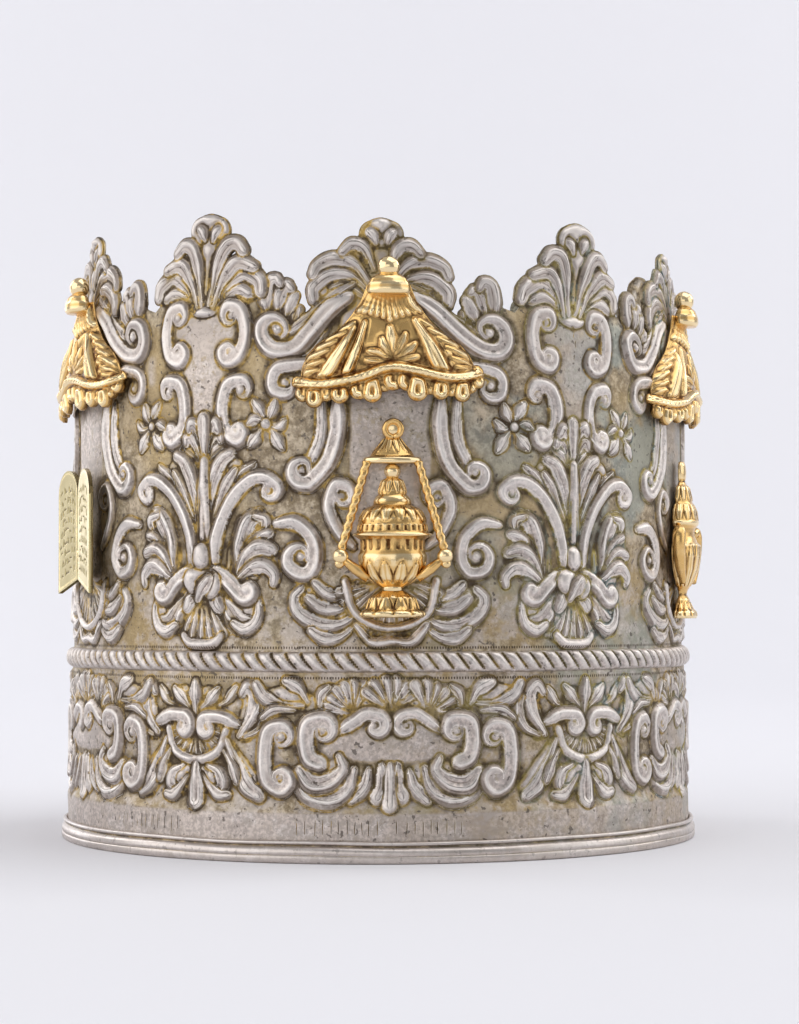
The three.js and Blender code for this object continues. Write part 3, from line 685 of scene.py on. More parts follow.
def sheetPieces(name, sheet, rise, place, sectors, thickness=0.9, front=None, back=None):
    # the front and back of the sheet, cut along the zero of keep and closed round every edge;
    # sectors are (name, first degree, last degree, most triangles)
    columns, rows = rise.shape
    wraps = sheet.wraps
    keep = np.where(np.abs(sheet.keep) < 0.02, 0.02, sheet.keep)
    across = np.repeat(sheet.across[:, None], rows, 1)
    height = np.repeat(sheet.heights[None, :], columns, 0)
    colours = sheetColours(sheet, rise)
    if front is None:
        front = rise
        back = np.minimum(blurred(rise, 0.8 / sheet.pitch, wraps) * 0.92, rise) - thickness
    fields = np.dstack([across, height, front, back, colours]).reshape(columns * rows, -1)
    inside = (keep > 0).ravel()
    i = np.arange(columns if wraps else columns - 1)
    j = np.arange(rows - 1)
    ii, jj = np.meshgrid(i, j, indexing="ij")
    nextColumn = (ii + 1) % columns
    corners = np.stack([ii * rows + jj, nextColumn * rows + jj, nextColumn * rows + jj + 1,
                        ii * rows + jj + 1], -1)
    corners = corners.reshape(-1, 4)
    count = inside[corners].sum(1)
    whole = corners[count == 4]
    extra, added, cutFaces, rim = [], {}, [], []
    flatKeep = keep.ravel()
    seam = 2 * halfRound

    def crossing(a, b):
        key = (min(a, b), max(a, b))
        if key not in added:
            t = flatKeep[a] / (flatKeep[a] - flatKeep[b])
            first, second = fields[a].copy(), fields[b].copy()
            if wraps and abs(first[0] - second[0]) > halfRound:
                second[0] += seam if second[0] < first[0] else -seam
            added[key] = len(fields) + len(extra)
            extra.append(first + (second - first) * t)
        return added[key]

    for face in corners[(count > 0) & (count < 4)]:
        ring, cuts = [], []
        for k in range(4):
            a, b = int(face[k]), int(face[(k + 1) % 4])
            if inside[a]:
                ring.append(a)
            if inside[a] != inside[b]:
                ring.append(crossing(a, b))
                cuts.append((len(ring) - 1, inside[a]))
        if len(ring) >= 3:
            cutFaces.append(ring)
            for cut, leaving in cuts:
                if leaving:
                    rim.append((ring[cut], ring[(cut + 1) % len(ring)]))
    for level in (0, rows - 1):
        ends = [k for k in i if inside[k * rows + level] and inside[((k + 1) % columns) * rows + level]]
        pairs = [(((k + 1) % columns) * rows + level, k * rows + level) for k in ends]
        rim += pairs if level == 0 else [pair[::-1] for pair in pairs]
    if extra:
        fields = np.vstack([fields, np.array(extra)])
    used = np.zeros(len(fields), bool)
    used[whole.ravel()] = True
    for ring in cutFaces:
        used[ring] = True
    number = np.full(len(fields), -1)
    number[used] = np.arange(used.sum())
    fields = fields[used]
    size = len(fields)
    fronts = [list(f) for f in number[whole]] + [[int(number[v]) for v in ring] for ring in cutFaces]
    backs = [[v + size for v in f[::-1]] for f in fronts]
    rims = []
    for a, b in rim:
        a, b = int(number[a]), int(number[b])
        if a >= 0 and b >= 0:
            rims.append([b, a, a + size, b + size])
    points = np.vstack([place(fields[:, 0], fields[:, 1], fields[:, 2]),
                        place(fields[:, 0], fields[:, 1], fields[:, 3])])
    shown, hidden = fields[:, 4:8], fields[:, 4:8].copy()
    hidden[:, 0], hidden[:, 2], hidden[:, 3] = 0.0, 0.0, 0.0
    colours = np.vstack([shown, hidden])
    lines = np.zeros((2 * size, 4))
    lines[:size, :2] = fields[:, 8:10]
    turned = np.degrees(fields[:, 0] / crown["unrolled radius"]) % 360
    pieces = []
    faces = fronts + backs + rims
    first = np.array([turned[min(f) % size] for f in faces])
    for sector, low, high, most in sectors:
        here = (first - low) % 360 < high - low
        chosen = [f for f, kept in zip(faces, here) if kept]
        used = np.zeros(2 * size, bool)
        for f in chosen:
            used[f] = True
        number = np.cumsum(used) - 1
        chosen = [[int(number[v]) for v in f] for f in chosen]
        piece = newPiece(name + sector, points[used].tolist(), chosen, colours[used], lines[used])
        pieces.append(thinned(piece, most))
    return pieces


quarters = [("_front", -48, 52), ("_right", 52, 128), ("_back", 128, 230), ("_left", 230, 312)]
upperSheet = raiseUpperWall()
upperRise = upperSheet.rise - chasing["outline depth"] * upperSheet.line
upperRise = blurred(upperRise, chasing["softness"] / upperSheet.pitch, True)
upperRise = upperRise + chasing["wall unevenness"] * noiseField(upperRise.shape, 14, True, chance)
sectors = [part + (most,) for part, most in zip(quarters, wallNet["upper triangles"])]
upperWall = sheetPieces("upper_wall", upperSheet, upperRise, onWall, sectors)
print("upper wall made:", sum(len(piece.data.polygons) for piece in upperWall))

lowerSheet = raiseLowerBand()
lowerRise = lowerSheet.rise - chasing["outline depth"] * lowerSheet.line
lowerRise = blurred(lowerRise, chasing["softness"] / lowerSheet.pitch, True)
lowerRise = lowerRise + chasing["band unevenness"] * noiseField(lowerRise.shape, 14, True, chance)
sectors = [part + (most,) for part, most in zip(quarters, wallNet["lower triangles"])]
lowerWall = sheetPieces("lower_band", lowerSheet, lowerRise, onWall, sectors)
print("lower band made:", sum(len(piece.data.polygons) for piece in lowerWall))

for piece in upperWall + lowerWall:
    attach(piece, "root")
    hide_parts("crown_wall")


ropeMoulding = {"height": 56.3, "half": 3.05, "seat": 95.9, "crest": 98.55, "gadroons": 137, "slant": 3.3,
                "cut": 0.85, "swell": 0.75, "inner": 95.2}


def ringFaces(columns, net):
    # the faces of a closed section carried once round the crown
    faces = []
    for i in range(columns):
        here, there = i * net, ((i + 1) % columns) * net
        faces += [(here + j, there + j, there + (j + 1) % net, here + (j + 1) % net) for j in range(net)]
    return faces


def makeRope():
    look = ropeMoulding
    columns, rows = look["gadroons"] * 9, 15
    angle = np.linspace(0, math.tau, columns, endpoint=False)
    turn = np.linspace(-math.pi / 2, math.pi / 2, rows)
    a, t = np.meshgrid(angle, turn, indexing="ij")
    rise = np.sin(t)
    pitch = math.tau / look["gadroons"]
    wander = noiseField(a.shape, 40, True, chance)
    slant = look["slant"] / crown["unrolled radius"] * np.clip(0.85 - rise, 0, 2) ** 1.25 * 0.62
    phase = (a - slant) / pitch + wander * 0.06
    phase = phase - np.floor(phase)
    gap = np.minimum(phase, 1 - phase)
    shallow = step(-0.95, -0.45, rise) * (1 - step(0.8, 1.0, rise))
    shallow = shallow * (1 + 0.25 * noiseField(a.shape, 60, True, chance))
    cut = bell(gap, 0.13) * shallow
    swell = (np.clip(0.5 - np.abs(phase - 0.62), 0, 1) - 0.2) * look["swell"] * shallow
    out = look["seat"] + (look["crest"] - look["seat"]) * np.cos(t) ** 0.8 - look["cut"] * cut + swell
    height = look["height"] + look["half"] * rise + 0.1 * wander
    points = np.stack([out * np.sin(a), -out * np.cos(a), height], -1)
    inner = np.stack([look["inner"] * np.sin(a), -look["inner"] * np.cos(a), height], -1)[:, [rows - 1, 0]]
    points = np.concatenate([points, inner], 1) * mm
    net = rows + 2
    faces = ringFaces(columns, net)
    colours = np.zeros((columns, net, 4))
    # the green edge value rises on one side of each gadroon, rubbed bright there as wear and a painted
    # highlight; the cuts and the rope's upper and lower edges are darkened with dirt and painted shade
    colours[:, :rows, 0] = 0.9 - 0.75 * cut
    colours[:, :rows, 1] = np.clip(0.69 - 0.6 * cut + 0.9 * swell, 0, 1)
    colours[:, :rows, 2] = np.clip(cut * 0.9 + 1.2 * (np.abs(rise) > 0.93), 0, 1)
    colours[:, rows:, 1] = 0.3
    return newPiece("rope_moulding", points.reshape(-1, 3).tolist(), faces, colours.reshape(-1, 4))


# The foot ring's mouldings: radius, height, and how bright the edge is rubbed there; low values darken the
# grooves with dirt and painted shade.
footMoulding = {
    "profile": [
        (98.2, 1.4, 0.4), (98.6, 0.1, 0.5), (99.2, 0.0, 0.5), (99.75, 0.25, 0.55), (99.98, 0.9, 0.6),
        (100.0, 1.7, 0.6), (99.92, 2.15, 0.5), (99.62, 2.32, 0.2), (99.92, 2.5, 0.5), (99.98, 3.1, 0.6),
        (99.85, 3.8, 0.6), (99.5, 4.35, 0.5), (99.02, 4.62, 0.35), (98.78, 4.9, 0.15), (98.8, 5.2, 0.15),
        (99.05, 5.38, 0.4), (99.42, 5.5, 0.6), (99.55, 5.85, 0.68), (99.4, 6.2, 0.62), (99.0, 6.42, 0.5),
        (98.5, 6.4, 0.35), (98.2, 6.1, 0.3),
    ],
    "columns": 360,
    "wobble out": 0.1,
    "wobble up": 0.12,
}


def makeFoot():
    look = footMoulding
    profile, columns = look["profile"], look["columns"]
    wobble = noiseField((columns, 3), 14, True, chance)[:, 0]
    points, colours = [], []
    for k in range(columns):
        a = math.tau * k / columns
        for radius, height, edge in profile:
            r = radius + look["wobble out"] * wobble[k]
            z = height + look["wobble up"] * wobble[(k + 40) % columns] * min(1, height / 3)
            points.append((r * math.sin(a) * mm, -r * math.cos(a) * mm, max(z, 0) * mm))
            colours.append((0.8, edge, 0.9 if edge < 0.3 else 0.0, 0.8))
    net = len(profile)
    faces = ringFaces(columns, net)
    return newPiece("foot_ring", points, faces, colours)


rope = makeRope()
foot = makeFoot()
for piece, node, slot in ((rope, "crown_wall", "chased_silver"), (foot, "foot_moulding", "foot_silver")):
    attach(piece, "root")
    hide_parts(node)
print("rope and foot made")


# A canopy: a cast bell of drapery with a cap and ball, an acanthus leaf, a twisted cord and a tassel fringe.
canopyLook = {
    "pitch": 0.24,
    "shell": 1.5,
    "half widths": [(136, 25), (140, 24.3), (143, 22.9), (146, 20.2), (148.5, 16.2), (151, 13), (154, 10.4),
                    (158, 7.7), (161, 6.5), (164.5, 5.2)],
    "reach": [(130, 5.6), (138, 5.4), (146, 4.4), (154, 3.1), (162, 2.2)],
    "folds": 0.35,
    "cap": [(0.01, 159.3), (5.2, 159.5), (6.0, 160.1), (6.2, 160.9), (5.9, 162.6), (4.9, 164.3), (3.2, 165.4),
            (0.01, 165.9)],
    "most triangles": 26000,
    "cord": [(-26, 135.4), (-22, 134.7), (-17.5, 134.5), (-11, 135.3), (-6, 136.8), (-2, 138.3), (2.5, 138.9),
             (7.5, 138.1), (12, 136.9), (17, 136.4), (21.5, 136.9), (25.6, 138.2)],
    "tassels": [(-24, 131.8, 1.9), (-17.3, 131.7, 1.9), (-8.2, 132.6, 2.3), (-1.6, 134.6, 2.2),
                (1.0, 135.3, 2.5), (4.6, 134.9, 2.2), (11, 133.7, 2.0), (16.9, 133.2, 1.9),
                (22.6, 134.2, 1.9), (25.2, 135.4, 1.6), (-20.6, 130.2, 2.1), (-13.4, 131.4, 2.2),
                (-4.6, 131.6, 2.2), (7.6, 132.2, 2.4), (14.0, 132.3, 2.0), (20.2, 131.8, 2.0)],
}


def canopyStrokes():
    strokes = []
    for place, height, size in canopyLook["tassels"]:
        strokes.append(leaf([(place, height + 3.4), (place, height)], [size * 0.75, size], 1.7, 0, True))
        strokes.append(groove([(place, height + 1.6), (place, height - 0.1)], [size * 0.4, size * 0.55], 1.1))
    for points, widths in (
        ([(-9.5, 151.6), (-12.5, 145), (-17.6, 137)], [1.1, 1.7, 2.1]),
        ([(-6.6, 152), (-8.6, 145), (-11.3, 138)], [0.8, 1.2, 1.4]),
        ([(7.2, 152.6), (11.4, 145), (14.8, 138)], [1.2, 2.0, 2.2]),
        ([(10.4, 152.4), (15.2, 145.6), (19, 138.6)], [0.7, 1.0, 1.2]),
    ):
        strokes.append(leaf(points, widths, 2.0, 0.25))
        strokes.append(groove([(a + widths[2] * 1.15 * (1 if a > 0 else -1), z) for a, z in points],
                              [0.3, 0.5, 0.6], 1.0))
    for side in (1, -1):
        for points in (
            [(8.6, 152.6), (11.2, 151), (13.8, 149.2)],
            [(11, 150), (14.4, 148.6), (17.6, 146.4)],
            [(13.6, 147.6), (17.4, 145.8), (20.6, 143.4)],
            [(15.8, 145), (19.8, 143.4), (23.4, 140.8)],
            [(17, 142), (20.6, 140.8), (24.2, 138.6)],
            [(18.4, 139.4), (21, 138.8), (23.4, 137.6)],
        ):
            aside, lower = (1.0, 0.8) if side < 0 else (0, 0)
            placed = [(side * a - aside, z - lower) for a, z in points]
            strokes.append(leaf(placed, [0.7, 1.25, 0.8], 1.3, 0.5))
    strokes += [
        leaf([(1, 140.6), (0.9, 145), (0.2, 150.4)], [0.7, 1.3, 0.7], 1.5, 0.45),
        leaf([(1.2, 141), (3.2, 145), (4.4, 148.4)], [0.6, 1.2, 0.6], 1.4, 0.45),
        leaf([(1.4, 140.8), (4.8, 143.4), (7, 145.6)], [0.6, 1.3, 0.7], 1.4, 0.45),
        leaf([(1.4, 140.6), (5, 141.2), (7.6, 142)], [0.5, 1.0, 0.6], 1.3, 0.45),
        leaf([(0.8, 141), (-1.4, 144.6), (-2, 147)], [0.6, 1.1, 0.6], 1.4, 0.45),
        leaf([(0.6, 140.8), (-3, 142.8), (-5.4, 143.6)], [0.6, 1.2, 0.7], 1.4, 0.45),
        leaf([(0.6, 140.4), (-3.4, 140.6), (-6, 141)], [0.5, 1.0, 0.6], 1.3, 0.45),
    ]
    for k in range(-5, 6):
        low = 152.4 + 0.9 * abs(k) ** 0.7
        strokes.append(leaf([(k * 0.95 + 0.2, 161), (k * 1.3 + 0.2, 157), (k * 1.75 + 0.2, low)],
                            [0.5, 0.95, 0.6], 1.6, 0))
        for n in range(5):
            z = low + 1.2 + n * 1.5
            x = k * np.interp(z, [low, 157, 161], [1.75, 1.3, 0.95]) + 0.2
            strokes += [groove([(x, z), (x + side * 0.75, z + 0.7)], [0.22, 0.22], 0.6) for side in (1, -1)]
    cord = leaf(canopyLook["cord"], [1.35, 1.4, 1.4, 1.35], 2.2, 0, True)
    cord["twist"] = (1.75, 0.6)
    strokes.append(cord)
    return strokes


def canopySheet():
    sheet = Relief(-28.5, 28.5, 126.5, 166, canopyLook["pitch"])
    a, z = np.meshgrid(sheet.across, sheet.heights, indexing="ij")
    half = np.interp(z, *np.array(canopyLook["half widths"]).T)
    foot = np.interp(a, *np.array(canopyLook["cord"]).T)
    body = np.clip(1 - (a / half) ** 2, 0, 1)
    reach = np.interp(z, *np.array(canopyLook["reach"]).T)
    folds = canopyLook["folds"] * np.cos(a * 0.52) * step(158, 142, z)
    base = reach * np.sqrt(body) + folds * body
    sheet.keep = np.minimum(half - np.abs(a) + 0.2, np.minimum(z - foot, 162.6 - z))
    for stroke in canopyStrokes():
        sheet.press(stroke)
    below = step(0, -1, z - foot)
    wide = np.sqrt(np.clip(1 - (a / 29) ** 2, 0, 1))
    base = base * (1 - below) + below * 5.2 * wide
    return sheet, base


def onSeat(across, height, out):
    # a place on a casting that hugs the wall, facing the front; out is measured from the seat
    turned = across / crown["unrolled radius"]
    radius = crown["seat radius"] + out
    return np.stack([radius * np.sin(turned), -radius * np.cos(turned), height], -1) * mm


def newCopy(piece, name):
    made = bpy.data.objects.new(name, piece.data.copy())
    bpy.context.scene.collection.objects.link(made)
    return made


def rigid(angle, out=0.0, across=0.0, drop=0.0):
    # the frame of a rigid casting on one panel: x across, y out from the seat, z up, in millimetres
    a = math.radians(angle)
    def place(points):
        x, y, z = np.asarray(points, float).T
        x, y, z = x + across, y + crown["seat radius"] + out, z + drop
        return np.stack([x * math.cos(a) + y * math.sin(a), x * math.sin(a) - y * math.cos(a), z], -1) * mm
    return place


def petals(phi, height, count, low, high, pointed=0.6, up=True):
    # rows of leaves engraved round a turned body: (rise, cut line)
    t = np.clip((height - low) / (high - low), 0, 1)
    t = t if up else 1 - t
    d = np.abs((phi * count / math.tau) % 1 - 0.5) * 2
    e = d / np.maximum(np.cos(t * math.pi / 2) ** pointed, 0.02)
    inside = ((height > low) & (height < high)).astype(float)
    rise = inside * np.clip(1 - e * e, 0, 1)
    line = inside * bell(e - 1, 0.22) + inside * 0.6 * bell(d, 0.1) * (e < 0.9)
    return rise, line


def turnedCasting(profile, decorate=None, columns=120, spacing=0.3, front=0.75, backDepth=0.25):
    # a turned body, flattened towards the wall; decorate(phi, height) gives (rise, line)
    knots = np.array(profile, float)
    rows = [knots[0]]
    for p, q in zip(knots[:-1], knots[1:]):
        count = max(1, int(np.hypot(*(q - p)) / spacing))
        rows += [p + (q - p) * k / count for k in range(1, count + 1)]
    rows = np.array(rows)
    phi = np.linspace(-math.pi, math.pi, columns, endpoint=False)
    p, r = np.meshgrid(phi, rows[:, 0], indexing="ij")
    z = np.repeat(rows[None, :, 1], columns, 0)
    rise, line = decorate(p, z) if decorate else (np.zeros_like(p), np.zeros_like(p))
    radius = np.maximum(r + rise * (r > 0.4), 0.02)
    depth = radius * np.cos(p)
    depth = np.where(depth > 0, depth * front, depth * backDepth)
    points = np.stack([radius * np.sin(p), depth, z], -1).reshape(-1, 3)
    net = len(rows)
    faces = [(i * net + j, i * net + j + 1, ((i + 1) % columns) * net + j + 1, ((i + 1) % columns) * net + j)
             for i in range(columns) for j in range(net - 1)]
    faces.append([i * net for i in range(columns)])
    faces.append([i * net + net - 1 for i in range(columns)][::-1])
    bend = np.gradient(np.gradient(rows[:, 0], axis=0))
    edge = np.clip(0.56 - bend[None, :] * 2.2 - line * 0.45 + rise * 0.5, 0, 1)
    colours = np.stack([np.ones_like(p), edge, np.clip(line, 0, 1), np.zeros_like(p)], -1).reshape(-1, 4)
    return points, faces, colours


def tube(path, radius, sides=10, twist=0.0, strands=2, depth=0.22, spacing=0.45):
    # a rod or a twisted chain along a path in the casting's own frame
    knots = np.array(path, float)
    if len(knots) > 2:
        flat, _, _ = smoothPath(knots[:, [0, 2]], [1, 1], spacing)
        share = np.concatenate([[0], np.cumsum(np.hypot(*np.diff(flat, axis=0).T))])
        old = np.concatenate([[0], np.cumsum(np.hypot(*np.diff(knots[:, [0, 2]], axis=0).T))])
        out = np.interp(share / share[-1], old / old[-1], knots[:, 1])
        line = np.stack([flat[:, 0], out, flat[:, 1]], -1)
    else:
        count = max(2, int(np.linalg.norm(knots[1] - knots[0]) / spacing))
        line = knots[0] + (knots[1] - knots[0]) * np.linspace(0, 1, count + 1)[:, None]
    radii = np.interp(np.linspace(0, 1, len(line)), np.linspace(0, 1, len(np.atleast_1d(radius))),
                      np.atleast_1d(radius))
    ahead = np.gradient(line, axis=0)
    ahead /= np.linalg.norm(ahead, axis=1)[:, None]
    side = np.cross(ahead, (0, 1, 0))
    side /= np.linalg.norm(side, axis=1)[:, None] + 1e-9
    up = np.cross(side, ahead)
    run = np.concatenate([[0], np.cumsum(np.linalg.norm(np.diff(line, axis=0), axis=1))])
    phi = np.linspace(0, math.tau, sides, endpoint=False)
    wave = np.cos(strands * phi[None, :] - twist * run[:, None]) if twist else np.zeros((len(line), sides))
    r = radii[:, None] * (1 + depth * wave)
    points = line[:, None, :] + r[..., None] * (np.cos(phi)[None, :, None] * side[:, None, :]
                                                + np.sin(phi)[None, :, None] * up[:, None, :])
    rings = len(line)
    faces = [(i * sides + j, i * sides + (j + 1) % sides, (i + 1) * sides + (j + 1) % sides,
              (i + 1) * sides + j)
             for i in range(rings - 1) for j in range(sides)]
    faces.append(list(range(sides))[::-1])
    faces.append([(rings - 1) * sides + j for j in range(sides)])
    colours = np.stack([np.ones_like(r), 0.56 + 0.4 * wave * depth * 2, np.clip(-wave, 0, 1) * 0.8,
                        np.zeros_like(r)], -1)
    return points.reshape(-1, 3), faces, colours.reshape(-1, 4)


def ballShape(centre, radius, squash=1.0, columns=24, rows=14):
    profile = [(max(radius * math.sin(math.pi * k / rows), 0.01), -radius * math.cos(math.pi * k / rows))
               for k in range(rows + 1)]
    points, faces, colours = turnedCasting(profile, columns=columns, spacing=99, front=squash,
                                           backDepth=squash)
    return points + np.array(centre, float), faces, colours


def together(shapes):
    points, faces, colours, count = [], [], [], 0
    for p, f, c in shapes:
        points.append(p)
        colours.append(c)
        faces += [[v + count for v in face] for face in f]
        count += len(p)
    return np.vstack(points), faces, np.vstack(colours)


def castPiece(name, shapes, place, most):
    points, faces, colours = together(shapes)
    return thinned(newPiece(name, place(points).tolist(), faces, colours), most)


canopyNet, canopyBase = canopySheet()
canopyRise = blurred(canopyNet.rise - 0.3 * canopyNet.line, 1, False)
canopyOut = np.maximum(canopyBase + canopyRise, 0.5)
canopyBack = np.maximum(np.minimum(blurred(canopyOut, 4, False) - canopyLook["shell"], canopyOut - 0.6), 0.05)
drapery = sheetPieces("gilt_canopy", canopyNet, canopyRise, onSeat,
                      [("", 180, 540, canopyLook["most triangles"])], 0,
                    canopyOut, canopyBack)[0]
capAndBall = castPiece("gilt_cap", [
    turnedCasting(canopyLook["cap"], columns=48, spacing=0.4, front=0.7, backDepth=0.45),
    ballShape((0, 0, 167.4), 3.15, 0.95),
], rigid(0, 2.6, -0.1), 3000)
canopies = []
for key, angle in reversed(largePanels.items()):
    for part in (drapery, capAndBall):
        made = part if key == "front" else newCopy(part, part.name + "_" + key)
        a = math.radians(angle)
        drop = -crown["tilt"] * 0.7 * math.sin(a) * mm
        made.data.transform(Matrix.Translation((0, 0, drop)) @ Matrix.Rotation(a, 4, "Z"))
        canopies.append(made)
        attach(made, "root")
        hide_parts("canopy_" + key)
print("canopies made:", len(canopies))


# An inscription of shallow strokes on the plain strip, in three runs. They aren't letters.
inscription = {
    "runs": [(-88, -60), (-23, 0), (5, 25)],
    "foot": 7.6,
    "top": 12.4,
    "half width": 0.34,
    "steps": (1.7, 2.9),
    # across, out and edge brightness of a stroke's section: burrs on both sides of a fine cut, whose middle
    # is darkened with dirt and painted shade
    "section": [(-1, 0.04, 0.8), (-0.6, 0.1, 0.85), (0, 0.05, 0.0), (0.6, 0.1, 0.3), (1, 0.04, 0.8)],
}


def makeInscription():
    look = inscription
    strokes = []
    for first, last in look["runs"]:
        at = first
        while at < last:
            lean = chance.normal(0, 0.12)
            strokes.append([(at, look["foot"] + chance.random() * 0.9),
                            (at + lean, look["top"] - chance.random() * 0.9)])
            at += look["steps"][0] + chance.random() * (look["steps"][1] - look["steps"][0])
    points, faces, colours = [], [], []
    for (a0, z0), (a1, z1) in strokes:
        length = math.hypot(a1 - a0, z1 - z0)
        nx, nz = -(z1 - z0) / length * look["half width"], (a1 - a0) / length * look["half width"]
        for t in (0, 0.5, 1):
            for side, out, edge in look["section"]:
                taper = 1 if t == 0.5 else 0.6
                across = a0 + (a1 - a0) * t + nx * side * taper
                height = z0 + (z1 - z0) * t + nz * side * taper
                points.append(onWall(across, height, out))
                colours.append((1, edge, 1 if edge == 0 else 0, 1))
        base = len(points) - 15
        faces += [[base + 5 * i + j, base + 5 * i + j + 1, base + 5 * i + j + 6, base + 5 * i + j + 5]
                  for i in range(2) for j in range(4)]
    return newPiece("inscription", [tuple(p) for p in points], faces, colours)


strokes = makeInscription()
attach(strokes, "root")
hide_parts("crown_wall")


# Emblems: a censer in front, then a laver, a lampstand, a priest's turban and the tablets of the law.
censer = {
    "body": [(0.01, 68.8), (8.6, 68.8), (9.2, 69.3), (9.2, 70.0), (8.4, 70.7), (7.6, 71.0), (7.2, 72.4),
             (6.4, 74.4), (4.2, 75.8), (2.9, 76.5), (3.2, 77.3), (5.4, 78.2), (8.0, 80.4), (9.5, 83.4),
             (9.75, 86.2), (9.2, 87.2), (9.0, 88.4), (9.1, 90.6), (10.4, 91.5), (11.3, 91.8), (11.3, 92.2),
             (10.2, 92.7), (9.9, 94.8), (9.5, 95.3), (9.4, 96.6), (8.2, 98.8), (6.1, 100.1), (5.4, 100.4),
             (5.3, 101.6), (4.6, 102.8), (4.0, 103.2), (3.9, 104.4), (3.0, 107.2), (1.7, 108.0),
             (1.5, 108.3)],
    "lid": [(0.01, 112.0), (7.9, 112.0), (8.3, 112.4), (8.3, 113.3), (7.8, 113.8), (6.3, 114.0), (6.0, 114.5),
            (5.2, 115.6), (3.4, 117.8), (2.3, 119.3), (1.4, 119.6)],
    # rows of engraved leaves: how many, from and to which height, how deep, upright or not, how pointed
    "leaves": [(10, 69.6, 75.6, 0.35, True, 0.7), (12, 78.4, 84.9, 0.35, True, 0.75),
               (14, 95.3, 99.8, 0.3, False, 0.8), (9, 103.4, 107.9, 0.35, False, 0.8),
               (11, 114.6, 119.2, 0.3, False, 0.8)],
    "slots": [(26, 92.9, 95.0), (20, 87.4, 90.9)],
    "slot depth": 0.45,
    "most triangles": 34000,
}


def censerPattern(phi, z):
    rise, line = np.zeros_like(phi), np.zeros_like(phi)
    for count, low, high, depth, up, tall in censer["leaves"]:
        r, l = petals(phi, z, count, low, high, tall, up)
        rise, line = rise + depth * (r * 0.8 - l * 0.7), line + l
    for count, low, high in censer["slots"]:
        t = (z - low) / (high - low)
        d = np.abs((phi * count / math.tau) % 1 - 0.5) * 2
        slot = bell(d, 0.42) * step(0, 0.2, t) * (1 - step(0.8, 1, t))
        rise, line = rise - censer["slot depth"] * slot, line + slot
    return rise, line


def makeCenser():
    body = turnedCasting(censer["body"], censerPattern, 150, 0.3, 0.72, 0.2)
    lid = turnedCasting(censer["lid"], censerPattern, 110, 0.3, 0.62, 0.3)
    bow = [(2.3 * math.cos(a) + 0.2, 1.4, 121.7 + 2.3 * math.sin(a)) for a in np.linspace(-1.5, 4.7, 9)]
    shapes = [body, lid, tube(bow, 0.85, 10), ballShape((0, 0.4, 109.8), 2.35),
              ballShape((0, 0.2, 77.2), 2.9, 0.8), ballShape((0.2, 0.6, 121.7), 2.3, 0.35)]
    for side in (-1, 1):
        bracket = [(side * 14.2, 3.2, 85.4), (side * 11, 3.0, 82.8), (side * 7.0, 2.6, 79.6)]
        shapes += [
            tube([(side * 7.2, 2.4, 112.4), (side * 14.4, 3.2, 88)], 1.2, 12, 2.3, 2, 0.11, 0.25),
            ballShape((side * 14.6, 3.2, 86.0), 2.25, 0.9),
            ballShape((side * 14.9, 3.2, 83.9), 1.4, 0.9),
            tube(bracket, [1.0, 1.5, 1.3], 10),
        ]
    return castPiece("gilt_censer", shapes, rigid(largePanels["front"], 0.9, 0.9), censer["most triangles"])


laver = {
    "body": [(0.01, 68.6), (8.4, 68.6), (8.8, 69.2), (8.2, 70.6), (6.4, 71.6), (5.0, 73.4), (4.6, 74.4),
             (3.0, 75.8), (3.4, 77.0), (6.2, 79.6), (9.4, 83.6), (10.7, 87.6), (10.5, 91.0), (9.0, 92.0),
             (7.4, 94.2), (7.6, 96.0), (9.8, 97.4), (10.0, 98.2), (9.5, 98.6), (8.9, 101.4), (7.2, 103.6),
             (6.4, 104.2), (6.2, 105.6), (5.0, 108.6), (3.2, 109.8), (2.4, 110.6), (2.9, 111.6), (3.1, 113.4),
             (2.9, 115.4), (2.2, 116.6), (0.01, 117.0)],
    "leaves": [(14, 78.5, 91.5, 0.4, True), (12, 98.5, 103.4, 0.35, False), (10, 104.6, 109.4, 0.3, False),
               (12, 69.4, 73.6, 0.3, True)],
    "handle": [(9.4, 1.8, 94.4), (12.6, 2, 95), (13.6, 2, 91), (12, 2, 85), (8, 2.2, 79.6)],
    "handle widths": [1.5, 2.1, 1.9, 1.5, 1.0],
    "most triangles": 22000,
}


def laverPattern(phi, z):
    rise, line = np.zeros_like(phi), np.zeros_like(phi)
    for count, low, high, depth, up in laver["leaves"]:
        r, l = petals(phi, z, count, low, high, 0.35, up)
        rise, line = rise + depth * (r - l * 0.8), line + l
    return rise, line


def makeLaver():
    shapes = [turnedCasting(laver["body"], laverPattern, 120, 0.3, 0.54, 0.2)]
    for side in (-1, 1):
        handle = [(side * x, y, z) for x, y, z in laver["handle"]]
        shapes.append(tube(handle, laver["handle widths"], 12))
    return castPiece("gilt_laver", shapes, rigid(largePanels["right"], 1.2, 0, -0.5), laver["most triangles"])


lampstand = {
    "stem": [(0.01, 70), (9.2, 70), (9.6, 70.6), (9.0, 72), (6.4, 73.4), (4.2, 75.6), (2.6, 77.4),
             (1.9, 79.4), (2.9, 80.8), (2.9, 82), (1.8, 83.4), (1.6, 90), (2.5, 91.2), (1.6, 92.4), (1.5, 99),
             (2.4, 100.2), (1.5, 101.4), (1.5, 107.4), (2.2, 108.4), (3.1, 110.4), (2.9, 111.2), (1.6, 111.6),
             (1.5, 112.4), (0.8, 114.4), (0.01, 115.8)],
    "cup": [(0.01, 107.8), (1.5, 108), (2.5, 110.2), (2.4, 110.9), (1.2, 111.2), (0.7, 113.4), (0.01, 114.6)],
    "reaches": (5.6, 10.8, 16),  # of the three pairs of arms
    "most triangles": 20000,
}


